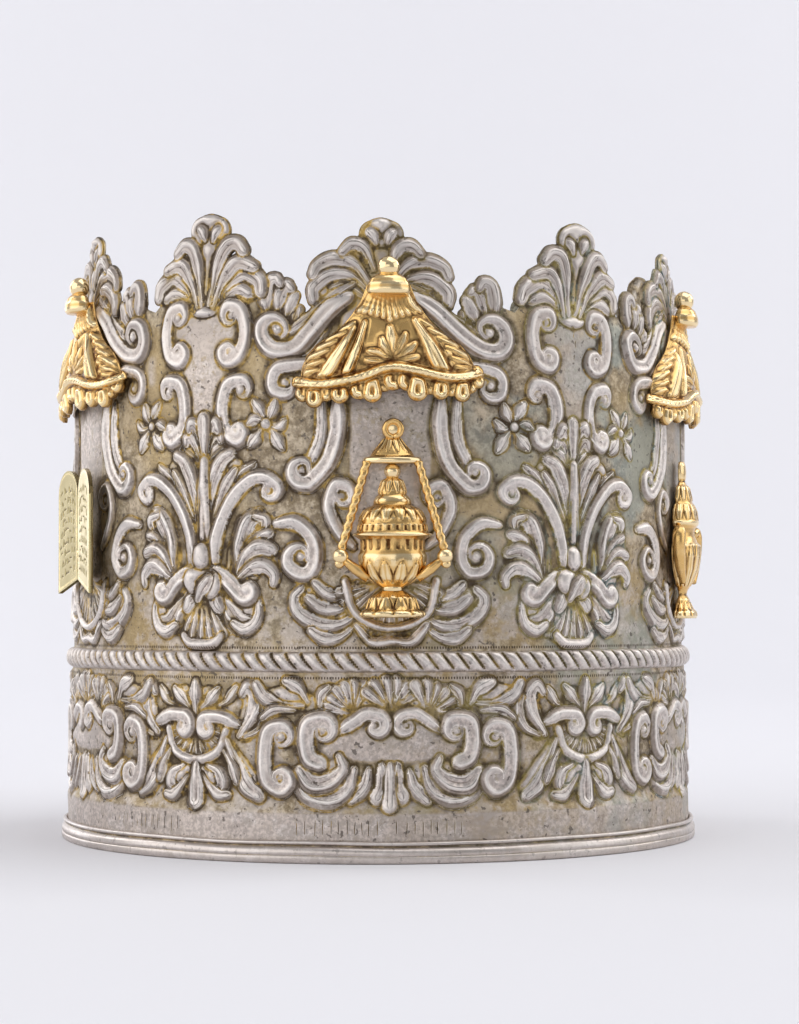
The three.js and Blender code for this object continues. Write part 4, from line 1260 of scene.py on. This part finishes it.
def makeLampstand():
    def knops(phi, z):
        rise, line = petals(phi, z, 10, 70.6, 76, 0.6, True)
        return 0.35 * (rise - line), line
    shapes = [turnedCasting(lampstand["stem"], knops, 60, 0.35, 0.85, 0.3)]
    for order, reach in enumerate(lampstand["reaches"]):
        low = 92 - 4 * order
        for side in (-1, 1):
            arm = [(0, 1, low), (side * reach * 0.42, 1.3, low + 0.9), (side * reach * 0.86, 1.5, low + 5.4),
                   (side * reach, 1.5, 108.4)]
            shapes.append(tube(arm, 1.15, 12, 2.2, 3, 0.1))
            shapes.append(ballShape((side * reach * 0.93, 1.5, low + 8.4), 1.6))
            cup = turnedCasting(lampstand["cup"], None, 24, 0.4, 0.9, 0.9)
            shapes.append((cup[0] + np.array([side * reach, 1.5, 0]), cup[1], cup[2]))
    place = rigid(largePanels["back_right"], 0.4, 0, -1.0)
    return castPiece("gilt_lampstand", shapes, place, lampstand["most triangles"])


turban = {
    "body": [(0.01, 78), (11.0, 78), (11.8, 78.6), (11.9, 79.2), (11.5, 79.8), (11.6, 85.2), (12.2, 85.8),
             (12.3, 86.4), (13.4, 88.2), (14.6, 91.6), (14.4, 95.4), (12.6, 99.8), (9.6, 103.4), (6.2, 106),
             (4.2, 107), (0.01, 107.4)],
    "roll depth": 0.55,
    "most triangles": 16000,
}


def makeTurban():
    def folds(phi, z):
        # cloth wound round the head: crossing rolls above a plain band
        wound = np.sin((z - 88) * 1.15 + 2.1 * np.sin(phi * 1.0 + 0.8))
        above = step(87, 89, z) * (1 - step(106.6, 108, z))
        cut = bell(wound + 1, 0.4) * above
        r, l = petals(phi, z, 26, 79.4, 85.6, 0.5, True)
        rolls = turban["roll depth"] * above * np.sign(wound) * np.abs(wound) ** 0.6
        return rolls + 0.25 * (r - l), cut + l
    shapes = [turnedCasting(turban["body"], folds, 130, 0.35, 0.45, 0.1), ballShape((0, 0.6, 107.8), 1.9)]
    return castPiece("gilt_turban", shapes, rigid(largePanels["back_left"], 0.3, 0, 1.0),
                     turban["most triangles"])


tablets = {
    "width": 15.4,
    "tall": 37.5,
    "thick": 1.3,
    "pitch": 0.28,
    "rows": 9,
    "first row": 4.6,
    "row step": 3.3,
    "cut": 0.3,
    "gap": 0.15,  # each slab stands this far from the middle
    "swing": 5,  # and turns forward by these degrees, like a leaf of an open book
    "most triangles": 30000,
}


def makeTablets():
    # two round-topped slabs like an open book, with rows of shallow strokes
    look = tablets
    width, tall, pitch = look["width"], look["tall"], look["pitch"]
    shapes = []
    for side in (-1, 1):
        x = np.arange(0, width + pitch / 2, pitch)
        z = np.arange(-0.5, tall + 1, pitch)
        a, h = np.meshgrid(x, z, indexing="ij")
        face = np.zeros_like(a)
        for row in range(look["rows"]):
            at = look["first row"] + row * look["row step"]
            place = 2.2 + chance.random() * 0.8
            while place < width - 2.4:
                long, lean = 1.0 + chance.random() * 1.6, chance.normal(0, 0.25)
                upright = chance.random() < 0.6
                if upright:
                    along, off = h - at - 0.4, a - place - lean * (h - at)
                    mark = bell(off, 0.24) * (np.abs(along) < 0.95)
                else:
                    high = chance.random() < 0.5
                    mark = bell(h - at - 1.1 * high, 0.22) * (np.abs(a - place - 0.5) < long * 0.45)
                face = np.maximum(face, mark)
                place += 1.1 + chance.random() * 1.3
        foot = 4.2 * (1 - a / width)
        top = tall - width / 2 + np.sqrt(np.clip((width / 2) ** 2 - (a - width / 2) ** 2, 0, None))
        hz = foot + (np.clip(h, 0, tall) / tall) * (top - foot)
        face = face * step(1.0, 2.0, top - hz) * step(0.8, 1.6, hz - foot)
        border = bell(np.minimum(np.minimum(a, width - a), np.minimum(top - hz, hz - foot)) - 0.9, 0.3)
        columns, rows = a.shape
        swing = math.radians(look["swing"])
        front = look["thick"] - look["cut"] * face
        pieces = []
        for level in (front, np.zeros_like(a)):
            across = a * math.cos(swing)
            out = level + a * math.sin(swing)
            pieces.append(np.stack([side * (across + look["gap"]), out, hz], -1).reshape(-1, 3))
        points = np.vstack(pieces)
        n = columns * rows
        faces = []
        for i in range(columns - 1):
            for j in range(rows - 1):
                q = [i * rows + j, (i + 1) * rows + j, (i + 1) * rows + j + 1, i * rows + j + 1]
                faces += [q, [v + n for v in q[::-1]]]
        outline = [i * rows for i in range(columns)] + [(columns - 1) * rows + j for j in range(1, rows)]
        outline += [i * rows + rows - 1 for i in range(columns - 2, -1, -1)]
        outline += range(rows - 2, 0, -1)
        for p, q in zip(outline, outline[1:] + outline[:1]):
            faces.append([q, p, p + n, q + n])
        if side < 0:
            faces = [f[::-1] for f in faces]
        flat = np.stack([np.ones_like(a), 0.5 - 0.45 * face + 0.3 * border, face, np.ones_like(a)],
                        -1).reshape(-1, 4)
        shapes.append((points, faces, np.vstack([flat, flat])))
    shapes.append(turnedCasting([(0.01, 10), (1.5, 10), (1.5, 13), (0.01, 13)], None, 16, 1, 1, 1))
    return castPiece("gilt_tablets", shapes, rigid(largePanels["left"], 1.7, 0, 76), look["most triangles"])


emblems = {}
for makeEmblem, node in ((makeCenser, "censer"), (makeLaver, "laver"), (makeLampstand, "lampstand"),
                         (makeTurban, "priest_turban"), (makeTablets, "law_tablets")):
    emblem = makeEmblem()
    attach(emblem, "root")
    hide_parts(node)
    emblems[node] = emblem
print("emblems made:", ", ".join(emblems))


# A material's nodes are laid down by hand, one by one, by these small helpers.


def addNode(tree, kind, **settings):
    made = tree.nodes.new(kind)
    for key, value in settings.items():
        setattr(made, key, value)
    return made


def feed(tree, target, value):
    if isinstance(value, (int, float, tuple)):
        target.default_value = value
    else:
        tree.links.new(value, target)


def sums(tree, operation, first, second=0.0, third=0.0, clamp=False):
    made = addNode(tree, "ShaderNodeMath", operation=operation, use_clamp=clamp)
    for socket, value in zip(made.inputs, (first, second, third)):
        feed(tree, socket, value)
    return made.outputs[0]


def ramp(tree, value, low, high, start=0.0, end=1.0):
    made = addNode(tree, "ShaderNodeMapRange", interpolation_type="SMOOTHSTEP")
    feed(tree, made.inputs["Value"], value)
    for key, number in (("From Min", low), ("From Max", high), ("To Min", start), ("To Max", end)):
        made.inputs[key].default_value = number
    return made.outputs["Result"]


def blend(tree, amount, first, second):
    made = addNode(tree, "ShaderNodeMix", data_type="RGBA")
    feed(tree, made.inputs["Factor"], amount)
    feed(tree, made.inputs[6], first)
    feed(tree, made.inputs[7], second)
    return made.outputs[2]


def cloud(tree, place, scale, detail=3.0, rough=0.55, stretch=None):
    if stretch:
        bent = addNode(tree, "ShaderNodeMapping")
        feed(tree, bent.inputs["Vector"], place)
        bent.inputs["Scale"].default_value = stretch
        place = bent.outputs["Vector"]
    made = addNode(tree, "ShaderNodeTexNoise")
    feed(tree, made.inputs["Vector"], place)
    made.inputs["Scale"].default_value = scale
    made.inputs["Detail"].default_value = detail
    made.inputs["Roughness"].default_value = rough
    return made.outputs["Fac"]


def newGroup(name, inputs, outputs):
    tree = bpy.data.node_groups.new(name, "ShaderNodeTree")
    kinds = {"value": "NodeSocketFloat", "colour": "NodeSocketColor", "place": "NodeSocketVector"}
    for label, kind, value in inputs:
        socket = tree.interface.new_socket(name=label, in_out="INPUT", socket_type=kinds[kind])
        if value is not None:
            socket.default_value = value
    for label, kind in outputs:
        tree.interface.new_socket(name=label, in_out="OUTPUT", socket_type=kinds[kind])
    return tree, tree.nodes.new("NodeGroupInput").outputs, tree.nodes.new("NodeGroupOutput").inputs


def useGroup(tree, group, **values):
    made = tree.nodes.new("ShaderNodeGroup")
    made.node_tree = group
    for key, value in values.items():
        feed(tree, made.inputs[key], value)
    return made.outputs


# Edge wear: where ridges are rubbed bright.
edgeWear, wearIn, wearOut = newGroup(
    "edge wear",
    [("Edge", "value", 0.5), ("Place", "place", None), ("Start", "value", 0.58),
     ("Patchiness", "value", 0.35)],
    [("Wear", "value")],
)
rubbed = cloud(edgeWear, wearIn["Place"], 160, 3)
shifted = sums(edgeWear, "MULTIPLY_ADD", sums(edgeWear, "SUBTRACT", rubbed, 0.5), wearIn["Patchiness"],
               wearIn["Edge"])
span = sums(edgeWear, "SUBTRACT", shifted, wearIn["Start"])
feed(edgeWear, wearOut["Wear"], sums(edgeWear, "MULTIPLY", span, 5.0, clamp=True))

# Tarnish: olive and brown in the ground, golden and blue-green bands beside the chased lines.
tarnish, filmIn, filmOut = newGroup(
    "tarnish",
    [
        ("Place", "place", None), ("Raised", "value", 0.5), ("Edge", "value", 0.5), ("Outline", "value", 0.0),
        ("Plain", "value", 0.0), ("Metal", "colour", (0.8, 0.76, 0.73, 1)), ("Strength", "value", 1.0),
    ],
    [("Colour", "colour"), ("Film", "value")],
)
broadPatch = cloud(tarnish, filmIn["Place"], 26, 3)
smallPatch = cloud(tarnish, filmIn["Place"], 150, 4, 0.65)
speckle = cloud(tarnish, filmIn["Place"], 520, 3, 0.7)
sides = addNode(tarnish, "ShaderNodeSeparateXYZ")
feed(tarnish, sides.inputs[0], filmIn["Place"])
toRight = ramp(tarnish, sides.outputs["X"], -0.03, 0.08)
mottle = sums(tarnish, "MULTIPLY_ADD", speckle, 0.55, sums(tarnish, "MULTIPLY", smallPatch, 0.45))
groundBrown = blend(tarnish, ramp(tarnish, mottle, 0.38, 0.62), (0.20, 0.155, 0.10, 1), (0.64, 0.55, 0.43, 1))
groundGold = blend(tarnish, ramp(tarnish, broadPatch, 0.4, 0.64, 0.1, 0.7), groundBrown,
                   (0.47, 0.35, 0.17, 1))
coolPatch = ramp(tarnish, cloud(tarnish, filmIn["Place"], 48, 3, 0.6), 0.46, 0.6)
coolShare = sums(tarnish, "MULTIPLY", coolPatch, sums(tarnish, "MULTIPLY_ADD", toRight, 0.5, 0.08))
ground = blend(tarnish, coolShare, groundGold, (0.31, 0.37, 0.36, 1))
low = ramp(tarnish, filmIn["Raised"], 0.24, 0.07)
bare = sums(tarnish, "SUBTRACT", 1.0, filmIn["Plain"])
inGround = sums(tarnish, "MULTIPLY", low, bare)
inHollow = sums(tarnish, "MULTIPLY", ramp(tarnish, filmIn["Edge"], 0.49, 0.24), 0.85)
# film over plain metal: in random patches, and heavier towards the right side
plainFilm = sums(tarnish, "ADD", ramp(tarnish, mottle, 0.5, 0.66, 0.1, 0.6),
               sums(tarnish, "MULTIPLY", toRight, 0.4))
plainFilm = sums(tarnish, "MULTIPLY", filmIn["Plain"], plainFilm, clamp=True)
film = sums(tarnish, "MAXIMUM", sums(tarnish, "MAXIMUM", inGround, inHollow), plainFilm)
film = sums(tarnish, "MULTIPLY", film, ramp(tarnish, speckle, 0.2, 0.5, 0.72, 1.0))
# the film thins in patches towards the bottom of the crown, below about 100 mm
thinnerLow = sums(tarnish, "MULTIPLY", ramp(tarnish, sides.outputs["Z"], 0.1, 0.07),
                 ramp(tarnish, smallPatch, 0.44, 0.58, 0, 0.6))
film = sums(tarnish, "MULTIPLY", film, sums(tarnish, "SUBTRACT", 1.0, thinnerLow))
film = sums(tarnish, "MULTIPLY", film, filmIn["Strength"], clamp=True)
lighter = sums(tarnish, "MULTIPLY", ramp(tarnish, smallPatch, 0.5, 0.66, 0, 0.5), filmIn["Strength"])
lighter = blend(tarnish, lighter, filmIn["Metal"], (0.92, 0.87, 0.85, 1))
streak = cloud(tarnish, filmIn["Place"], 60, 3, 0.7, (1.0, 1.0, 2.2))
darkened = sums(tarnish, "MAXIMUM", ramp(tarnish, mottle, 0.47, 0.62, 0, 0.75),
                ramp(tarnish, streak, 0.52, 0.66, 0, 0.6))
grain = ramp(tarnish, cloud(tarnish, filmIn["Place"], 900, 2, 0.6), 0.36, 0.62, 0, 0.6)
darkened = sums(tarnish, "MAXIMUM", darkened, sums(tarnish, "MULTIPLY", grain, filmIn["Strength"]))
# the metal darkens towards the top of the crest
nearTop = ramp(tarnish, sides.outputs["Z"], 0.12, 0.166, 0, 0.55)
darkened = sums(tarnish, "MAXIMUM", darkened, nearTop)
cloudy = blend(tarnish, sums(tarnish, "MULTIPLY", darkened, filmIn["Strength"]), lighter,
               (0.30, 0.262, 0.24, 1))
covered = blend(tarnish, film, cloudy, ground)
lineWarm = blend(tarnish, ramp(tarnish, smallPatch, 0.44, 0.56), (0.09, 0.065, 0.04, 1),
                 (0.72, 0.48, 0.12, 1))
lineCool = blend(tarnish, ramp(tarnish, smallPatch, 0.42, 0.6), (0.62, 0.50, 0.15, 1), (0.17, 0.27, 0.29, 1))
lineColour = blend(tarnish, sums(tarnish, "MULTIPLY", toRight, ramp(tarnish, broadPatch, 0.35, 0.6)),
                   lineWarm, lineCool)
lineMask = sums(tarnish, "MULTIPLY", ramp(tarnish, filmIn["Outline"], 0.3, 0.8), filmIn["Strength"],
                clamp=True)
deep = sums(tarnish, "MULTIPLY", lineMask, ramp(tarnish, filmIn["Edge"], 0.62, 0.42, 0.2, 0.95))
pits = ramp(tarnish, cloud(tarnish, filmIn["Place"], 560, 2, 0.5), 0.63, 0.7, 0, 0.8)
covered = blend(tarnish, sums(tarnish, "MULTIPLY", pits, filmIn["Strength"]), covered, (0.13, 0.11, 0.095, 1))
feed(tarnish, filmOut["Colour"], blend(tarnish, deep, covered, lineColour))
feed(tarnish, filmOut["Film"], sums(tarnish, "MAXIMUM", film, deep))

# Matting: the small overlapping marks of a punch, as a height.
matting, markIn, markOut = newGroup(
    "matting punch", [("Place", "place", None), ("Mask", "value", 1.0)], [("Height", "value")]
)
dots = addNode(matting, "ShaderNodeTexVoronoi")
feed(matting, dots.inputs["Vector"], markIn["Place"])
dots.inputs["Scale"].default_value = 1150
crossed = cloud(matting, markIn["Place"], 900, 2)
marks = sums(matting, "ADD", dots.outputs["Distance"], crossed)
feed(matting, markOut["Height"], sums(matting, "MULTIPLY", marks, markIn["Mask"]))

# Fine scratches and soft hammering over plain metal, as a height.
scratches, scratchIn, scratchOut = newGroup(
    "scratches and hammering", [("Place", "place", None), ("Hammering", "value", 1.0)], [("Height", "value")]
)
hairs = cloud(scratches, scratchIn["Place"], 90, 3, 0.8, (9.0, 9.0, 1.1))
dents = cloud(scratches, scratchIn["Place"], 210, 1)
hammered = sums(scratches, "MULTIPLY", dents, scratchIn["Hammering"])
feed(scratches, scratchOut["Height"], sums(scratches, "MULTIPLY_ADD", hairs, 0.22, hammered))

# Punched rows: the beaded lines above and below the rope, as a mask.
punched, punchIn, punchOut = newGroup("punched rows", [("Place", "place", None)], [("Mask", "value")])
spot = addNode(punched, "ShaderNodeSeparateXYZ")
feed(punched, spot.inputs[0], punchIn["Place"])
punchedRows = {"marks": 760, "heights": (0.0518, 0.0603)}
turnOf = sums(punched, "ARCTAN2", spot.outputs["X"], spot.outputs["Y"])
between = sums(punched, "PINGPONG", sums(punched, "MULTIPLY", turnOf, punchedRows["marks"] / math.tau), 0.5)
rows = None
for height in punchedRows["heights"]:
    above = sums(punched, "SUBTRACT", spot.outputs["Z"], height)
    row = ramp(punched, sums(punched, "ABSOLUTE", above), 0.0005, 0.0002)
    rows = row if rows is None else sums(punched, "ADD", rows, row)
feed(punched, punchOut["Mask"], sums(punched, "MULTIPLY", rows, ramp(punched, between, 0.34, 0.16)))

# Fluting: fine engraved lines that run along each leaf and scroll.
fluting, fluteIn, fluteOut = newGroup(
    "fluting", [("Side", "value", 0.0), ("Wide", "value", 0.0), ("Place", "place", None)], [("Line", "value")]
)
fromSpine = sums(fluting, "MULTIPLY_ADD", sums(fluting, "MULTIPLY", fluteIn["Side"], fluteIn["Wide"]), 0.8,
                 0.5)
toLine = sums(fluting, "PINGPONG", fromSpine, 0.5)
thinLine = ramp(fluting, toLine, 0.2, 0.04)
inside = ramp(fluting, sums(fluting, "ABSOLUTE", fluteIn["Side"]), 0.8, 0.66)
onLeaf = ramp(fluting, fluteIn["Wide"], 0.75, 1.05)
broken = ramp(fluting, cloud(fluting, fluteIn["Place"], 210, 2), 0.36, 0.54, 0.25, 1.0)
thinLine = sums(fluting, "MULTIPLY", sums(fluting, "MULTIPLY", thinLine, inside),
                sums(fluting, "MULTIPLY", onLeaf, broken))
feed(fluting, fluteOut["Line"], thinLine)

# Bands: a painted highlight as a bright crest line along each leaf and scroll, dimmer towards the top of the
# crest, and painted shade on its darker outer slope.
bands, bandIn, bandOut = newGroup(
    "bands", [("Side", "value", 0.0), ("Wide", "value", 0.0), ("Place", "place", None)],
    [("Crest", "value"), ("Slope", "value")]
)
onBand = ramp(bands, sums(bands, "ABSOLUTE", bandIn["Wide"]), 0.35, 0.8)
waver = sums(bands, "MULTIPLY_ADD", cloud(bands, bandIn["Place"], 230, 2), 0.3, -0.15)
sideways = sums(bands, "ADD", bandIn["Side"], waver)
crestLineAt = ramp(bands, sums(bands, "ABSOLUTE", sums(bands, "SUBTRACT", sideways, 0.3)), 0.17, 0.05)
innerRim = ramp(bands, sums(bands, "ABSOLUTE", sums(bands, "ADD", sideways, 0.8)), 0.14, 0.05, 0, 0.6)
upright = addNode(bands, "ShaderNodeSeparateXYZ")
feed(bands, upright.inputs[0], bandIn["Place"])
onBandLow = sums(bands, "MULTIPLY", onBand, ramp(bands, upright.outputs["Z"], 0.12, 0.166, 1.0, 0.65))
feed(bands, bandOut["Crest"],
     sums(bands, "MULTIPLY", onBandLow, sums(bands, "MAXIMUM", crestLineAt, innerRim)))
patchySlope = sums(bands, "MULTIPLY", onBand,
                   ramp(bands, cloud(bands, bandIn["Place"], 110, 3, 0.6), 0.38, 0.6, 0.3, 1.0))
feed(bands, bandOut["Slope"], sums(bands, "MULTIPLY", patchySlope, ramp(bands, sideways, 0.42, 0.66)))

# Recesses: where dirt and shade sit, in cut lines, hollows and beside the raised work.
recesses, recessIn, recessOut = newGroup(
    "recesses",
    [("Edge", "value", 0.5), ("Outline", "value", 0.0), ("Flute", "value", 0.0), ("Place", "place", None)],
    [("Mask", "value")],
)
uneven = ramp(recesses, cloud(recesses, recessIn["Place"], 330, 3, 0.6), 0.35, 0.62, 0.45, 1.0)
deepPart = ramp(recesses, recessIn["Edge"], 0.4, 0.12)
beside = sums(recesses, "MULTIPLY", ramp(recesses, recessIn["Outline"], 0.45, 1.0),
              ramp(recesses, recessIn["Edge"], 0.52, 0.36))
dirtAndShade = sums(recesses, "MAXIMUM", sums(recesses, "MAXIMUM", deepPart, beside),
             sums(recesses, "MULTIPLY", recessIn["Flute"], 0.75))
feed(recesses, recessOut["Mask"], sums(recesses, "MULTIPLY", dirtAndShade, uneven))


def metalMaterial(name, look):
    material = bpy.data.materials.new(name)
    material.use_nodes = True
    tree = material.node_tree
    tree.nodes.clear()
    shader = addNode(tree, "ShaderNodeBsdfPrincipled")
    output = addNode(tree, "ShaderNodeOutputMaterial")
    tree.links.new(shader.outputs["BSDF"], output.inputs["Surface"])
    place = addNode(tree, "ShaderNodeTexCoord").outputs["Object"]
    chased = addNode(tree, "ShaderNodeAttribute", attribute_name="chasing")
    parts = addNode(tree, "ShaderNodeSeparateColor")
    tree.links.new(chased.outputs["Color"], parts.inputs[0])
    raised, edge, line = parts.outputs[0], parts.outputs[1], parts.outputs[2]
    plain = chased.outputs["Alpha"]
    engraved = addNode(tree, "ShaderNodeAttribute", attribute_name="engraving")
    across = addNode(tree, "ShaderNodeSeparateXYZ")
    tree.links.new(engraved.outputs["Vector"], across.inputs[0])
    flute = useGroup(tree, fluting, Side=across.outputs[0], Wide=across.outputs[1], Place=place)["Line"]
    flute = sums(tree, "MULTIPLY", flute, look["fluting"])
    film = useGroup(tree, tarnish, Place=place, Raised=raised, Edge=edge, Outline=line, Plain=plain,
                    Metal=look["metal"], Strength=look["tarnish"])
    wear = useGroup(tree, edgeWear, Edge=edge, Place=place, Start=look["wear from"])["Wear"]
    band = useGroup(tree, bands, Side=across.outputs[0], Wide=across.outputs[1], Place=place)
    # painted shade on each band's outer slope, and a painted highlight along its crest line joined to the
    # edge wear
    slope = sums(tree, "MULTIPLY", band["Slope"], look["slope"])
    wear = sums(tree, "MULTIPLY", wear, sums(tree, "SUBTRACT", look["wear"], slope), clamp=True)
    wear = sums(tree, "MAXIMUM", wear, sums(tree, "MULTIPLY", band["Crest"], look["crest"]))
    colour = blend(tree, slope, film["Colour"], look["shade"])
    colour = blend(tree, wear, colour, look["worn and highlight"])
    # dirt and painted shade darken the recesses: cut lines, hollows, flutes and the ground beside the raised
    # work
    recess = useGroup(tree, recesses, Edge=edge, Outline=line, Flute=flute, Place=place)["Mask"]
    if look["tarnish"] == 1.0:
        recess = sums(tree, "MAXIMUM", recess, useGroup(tree, punched, Place=place)["Mask"])
    recess = sums(tree, "MULTIPLY", recess, look["recess depth"], clamp=True)
    colour = blend(tree, recess, colour, look["recess"])
    tree.links.new(colour, shader.inputs["Base Color"])
    shader.inputs["Metallic"].default_value = 1.0
    patch = cloud(tree, place, 75, 2, 0.6)
    base = ramp(tree, patch, 0.3, 0.7, look["roughness"][0], look["roughness"][1])
    rougher = sums(tree, "MULTIPLY", film["Film"], look["film roughness"])
    gloss = sums(tree, "SUBTRACT", sums(tree, "ADD", base, rougher), sums(tree, "MULTIPLY", wear, 0.06),
                 clamp=True)
    tree.links.new(gloss, shader.inputs["Roughness"])
    fine = useGroup(tree, matting, Place=place, Mask=film["Film"])["Height"]
    hair = useGroup(tree, scratches, Place=place, Hammering=look["hammering"])["Height"]
    normal = None
    for height, strength, distance, sunk in (
        (fine, look["matting"], 0.00016, False),
        (hair, look["scratches"], 0.0003, False),
        (flute, 0.35, 0.0003, True),
    ):
        bump = addNode(tree, "ShaderNodeBump", invert=sunk)
        bump.inputs["Strength"].default_value = strength
        bump.inputs["Distance"].default_value = distance
        tree.links.new(height, bump.inputs["Height"])
        if normal is not None:
            tree.links.new(normal, bump.inputs["Normal"])
        normal = bump.outputs["Normal"]
    tree.links.new(normal, shader.inputs["Normal"])
    return material


chasedSilver = metalMaterial("chased silver", {
    "metal": (0.68, 0.60, 0.55, 1), "worn and highlight": (0.92, 0.87, 0.82, 1), "tarnish": 1.0,
    "wear": 0.5, "wear from": 0.63, "crest": 0.85, "slope": 0.7, "shade": (0.25, 0.205, 0.17, 1),
    "roughness": (0.4, 0.54), "film roughness": 0.1, "hammering": 0.6, "matting": 0.8, "scratches": 0.6,
    "recess": (0.075, 0.052, 0.034, 1), "recess depth": 0.92, "fluting": 1.0,
})
footSilver = metalMaterial("foot silver", {
    "metal": (0.66, 0.595, 0.555, 1), "worn and highlight": (0.80, 0.765, 0.735, 1), "tarnish": 0.5,
    "wear": 0.6, "wear from": 0.58, "crest": 0.0, "slope": 0.0, "shade": (0.3, 0.3, 0.3, 1),
    "roughness": (0.3, 0.42), "film roughness": 0.15, "hammering": 0.2, "matting": 0.2, "scratches": 0.4,
    "recess": (0.06, 0.045, 0.03, 1), "recess depth": 0.8, "fluting": 0.0,
})
gilt = metalMaterial("gilt", {
    "metal": (0.78, 0.50, 0.19, 1), "worn and highlight": (0.97, 0.78, 0.46, 1), "tarnish": 0.0,
    "wear": 0.9, "wear from": 0.56, "crest": 0.5, "slope": 0.3, "shade": (0.42, 0.22, 0.07, 1),
    "roughness": (0.18, 0.3), "film roughness": 0.2, "hammering": 0.3, "matting": 0.0, "scratches": 0.25,
    "recess": (0.10, 0.038, 0.012, 1), "recess depth": 1.0, "fluting": 0.8,
})
for piece in upperWall + lowerWall + [rope, strokes]:
    piece.data.materials.append(chasedSilver)
foot.data.materials.append(footSilver)
tabletGilt = metalMaterial("green gilt", {
    "metal": (0.53, 0.445, 0.23, 1), "worn and highlight": (0.92, 0.76, 0.40, 1), "tarnish": 0.0,
    "wear": 1.0, "wear from": 0.56, "crest": 0.0, "slope": 0.0, "shade": (0.3, 0.2, 0.1, 1),
    "roughness": (0.24, 0.36), "film roughness": 0.2, "hammering": 0.4, "matting": 0.0, "scratches": 0.4,
    "recess": (0.08, 0.05, 0.02, 1), "recess depth": 1.0, "fluting": 0.0,
})
for piece in canopies + list(emblems.values()):
    piece.data.materials.append(tabletGilt if piece is emblems["law_tablets"] else gilt)


# The stage is a sheet of pale paper, swept up behind the crown. From here on lengths are in metres.
stageLook = {
    "front": -2.2,
    "bend": 1.2,  # the paper curves up behind this line
    "sweep": 0.9,  # with this radius
    "steps": 16,
    "top": 4.0,
    "width": 6.0,
    "colour": (0.85, 0.845, 0.878, 1),
}
profile = [(stageLook["front"], 0.0), (stageLook["bend"], 0.0)]
for k in range(1, stageLook["steps"] + 1):
    a = math.pi / 2 * k / stageLook["steps"]
    back = stageLook["bend"] + stageLook["sweep"] * math.sin(a)
    profile.append((back, stageLook["sweep"] * (1 - math.cos(a))))
profile.append((stageLook["bend"] + stageLook["sweep"], stageLook["top"]))
edges = (-stageLook["width"] / 2, stageLook["width"] / 2)
floor = newPiece(
    "floor",
    [(x, y, z) for y, z in profile for x in edges],
    [(2 * k, 2 * k + 1, 2 * k + 3, 2 * k + 2) for k in range(len(profile) - 1)],
)
paper = bpy.data.materials.new("studio paper")
paper.use_nodes = True
paper.node_tree.nodes["Principled BSDF"].inputs["Base Color"].default_value = stageLook["colour"]
paper.node_tree.nodes["Principled BSDF"].inputs["Roughness"].default_value = 0.9
floor.data.materials.append(paper)

world = bpy.data.worlds.new("studio")
bpy.context.scene.world = world
world.use_nodes = True
sky = world.node_tree
heading = addNode(sky, "ShaderNodeSeparateXYZ")
feed(sky, heading.inputs[0], addNode(sky, "ShaderNodeTexCoord").outputs["Generated"])
room = ramp(sky, heading.outputs["Y"], -0.95, 0.2, 0.345, 0.495)
room = sums(sky, "MAXIMUM", room, ramp(sky, heading.outputs["Z"], 0.2, 0.9, 0.0, 0.5))
feed(sky, sky.nodes["Background"].inputs["Strength"], room)
sky.nodes["Background"].inputs["Color"].default_value = (0.94, 0.95, 1.0, 1)


def softBox(name, place, aim, size, power, colour):
    light = bpy.data.lights.new(name, "AREA")
    light.shape = "RECTANGLE"
    light.size, light.size_y = size
    light.energy = power
    light.color = colour
    box = bpy.data.objects.new(name, light)
    bpy.context.scene.collection.objects.link(box)
    box.location = place
    box.rotation_euler = (Vector(aim) - Vector(place)).to_track_quat("-Z", "Y").to_euler()
    return box


# Each soft light's place, aim, size, power and colour.
studioLights = {
    "key": ((-1.45, -0.62, 0.7), (0, 0, 0.08), (2.0, 1.5), 10.8, (1, 0.985, 0.97)),
    "front": ((-0.4, -1.6, 0.4), (0, 0, 0.02), (1.4, 0.6), 2.1, (1, 0.985, 0.97)),
    "fill": ((1.5, -0.25, 0.6), (0, 0, 0.08), (1.6, 1.1), 4.6, (1, 1, 1)),
    "left edge": ((-1.25, 1.35, 0.35), (0, 0, 0.08), (0.9, 0.8), 2.5, (1, 1, 1)),
    "top": ((0.55, -0.2, 1.6), (0, 0, 0.05), (1.6, 1.6), 10.0, (1, 1, 1)),
    "paper light left": ((-1.6, 1.0, 1.2), (0.2, 2.0, 0.6), (1.0, 1.0), 9.4, (1, 1, 1)),
    "paper light right": ((1.6, 1.0, 1.2), (-0.2, 2.0, 0.6), (1.0, 1.0), 9.4, (1, 1, 1)),
}
for lightName, (place, aim, size, power, colour) in studioLights.items():
    softBox(lightName, place, aim, size, power, colour)
print("lights placed:", len(studioLights))

# The camera's distance and height in metres, its lens in millimetres and its turns in degrees.
view = {"distance": 0.8, "height": 0.0726, "lens": 87.961, "pitch": 2.107, "roll": 0.1, "yaw": 0.4832}
lens = bpy.data.cameras.new("camera")
lens.sensor_width = 36
lens.lens = view["lens"]
camera = bpy.data.objects.new("camera", lens)
bpy.context.scene.collection.objects.link(camera)
camera.location = (0, -view["distance"], view["height"])
turns = (90 + view["pitch"], view["roll"], -view["yaw"])
camera.rotation_euler = [math.radians(turn) for turn in turns]
bpy.context.scene.camera = camera
bpy.context.scene.view_settings.view_transform = "Standard"
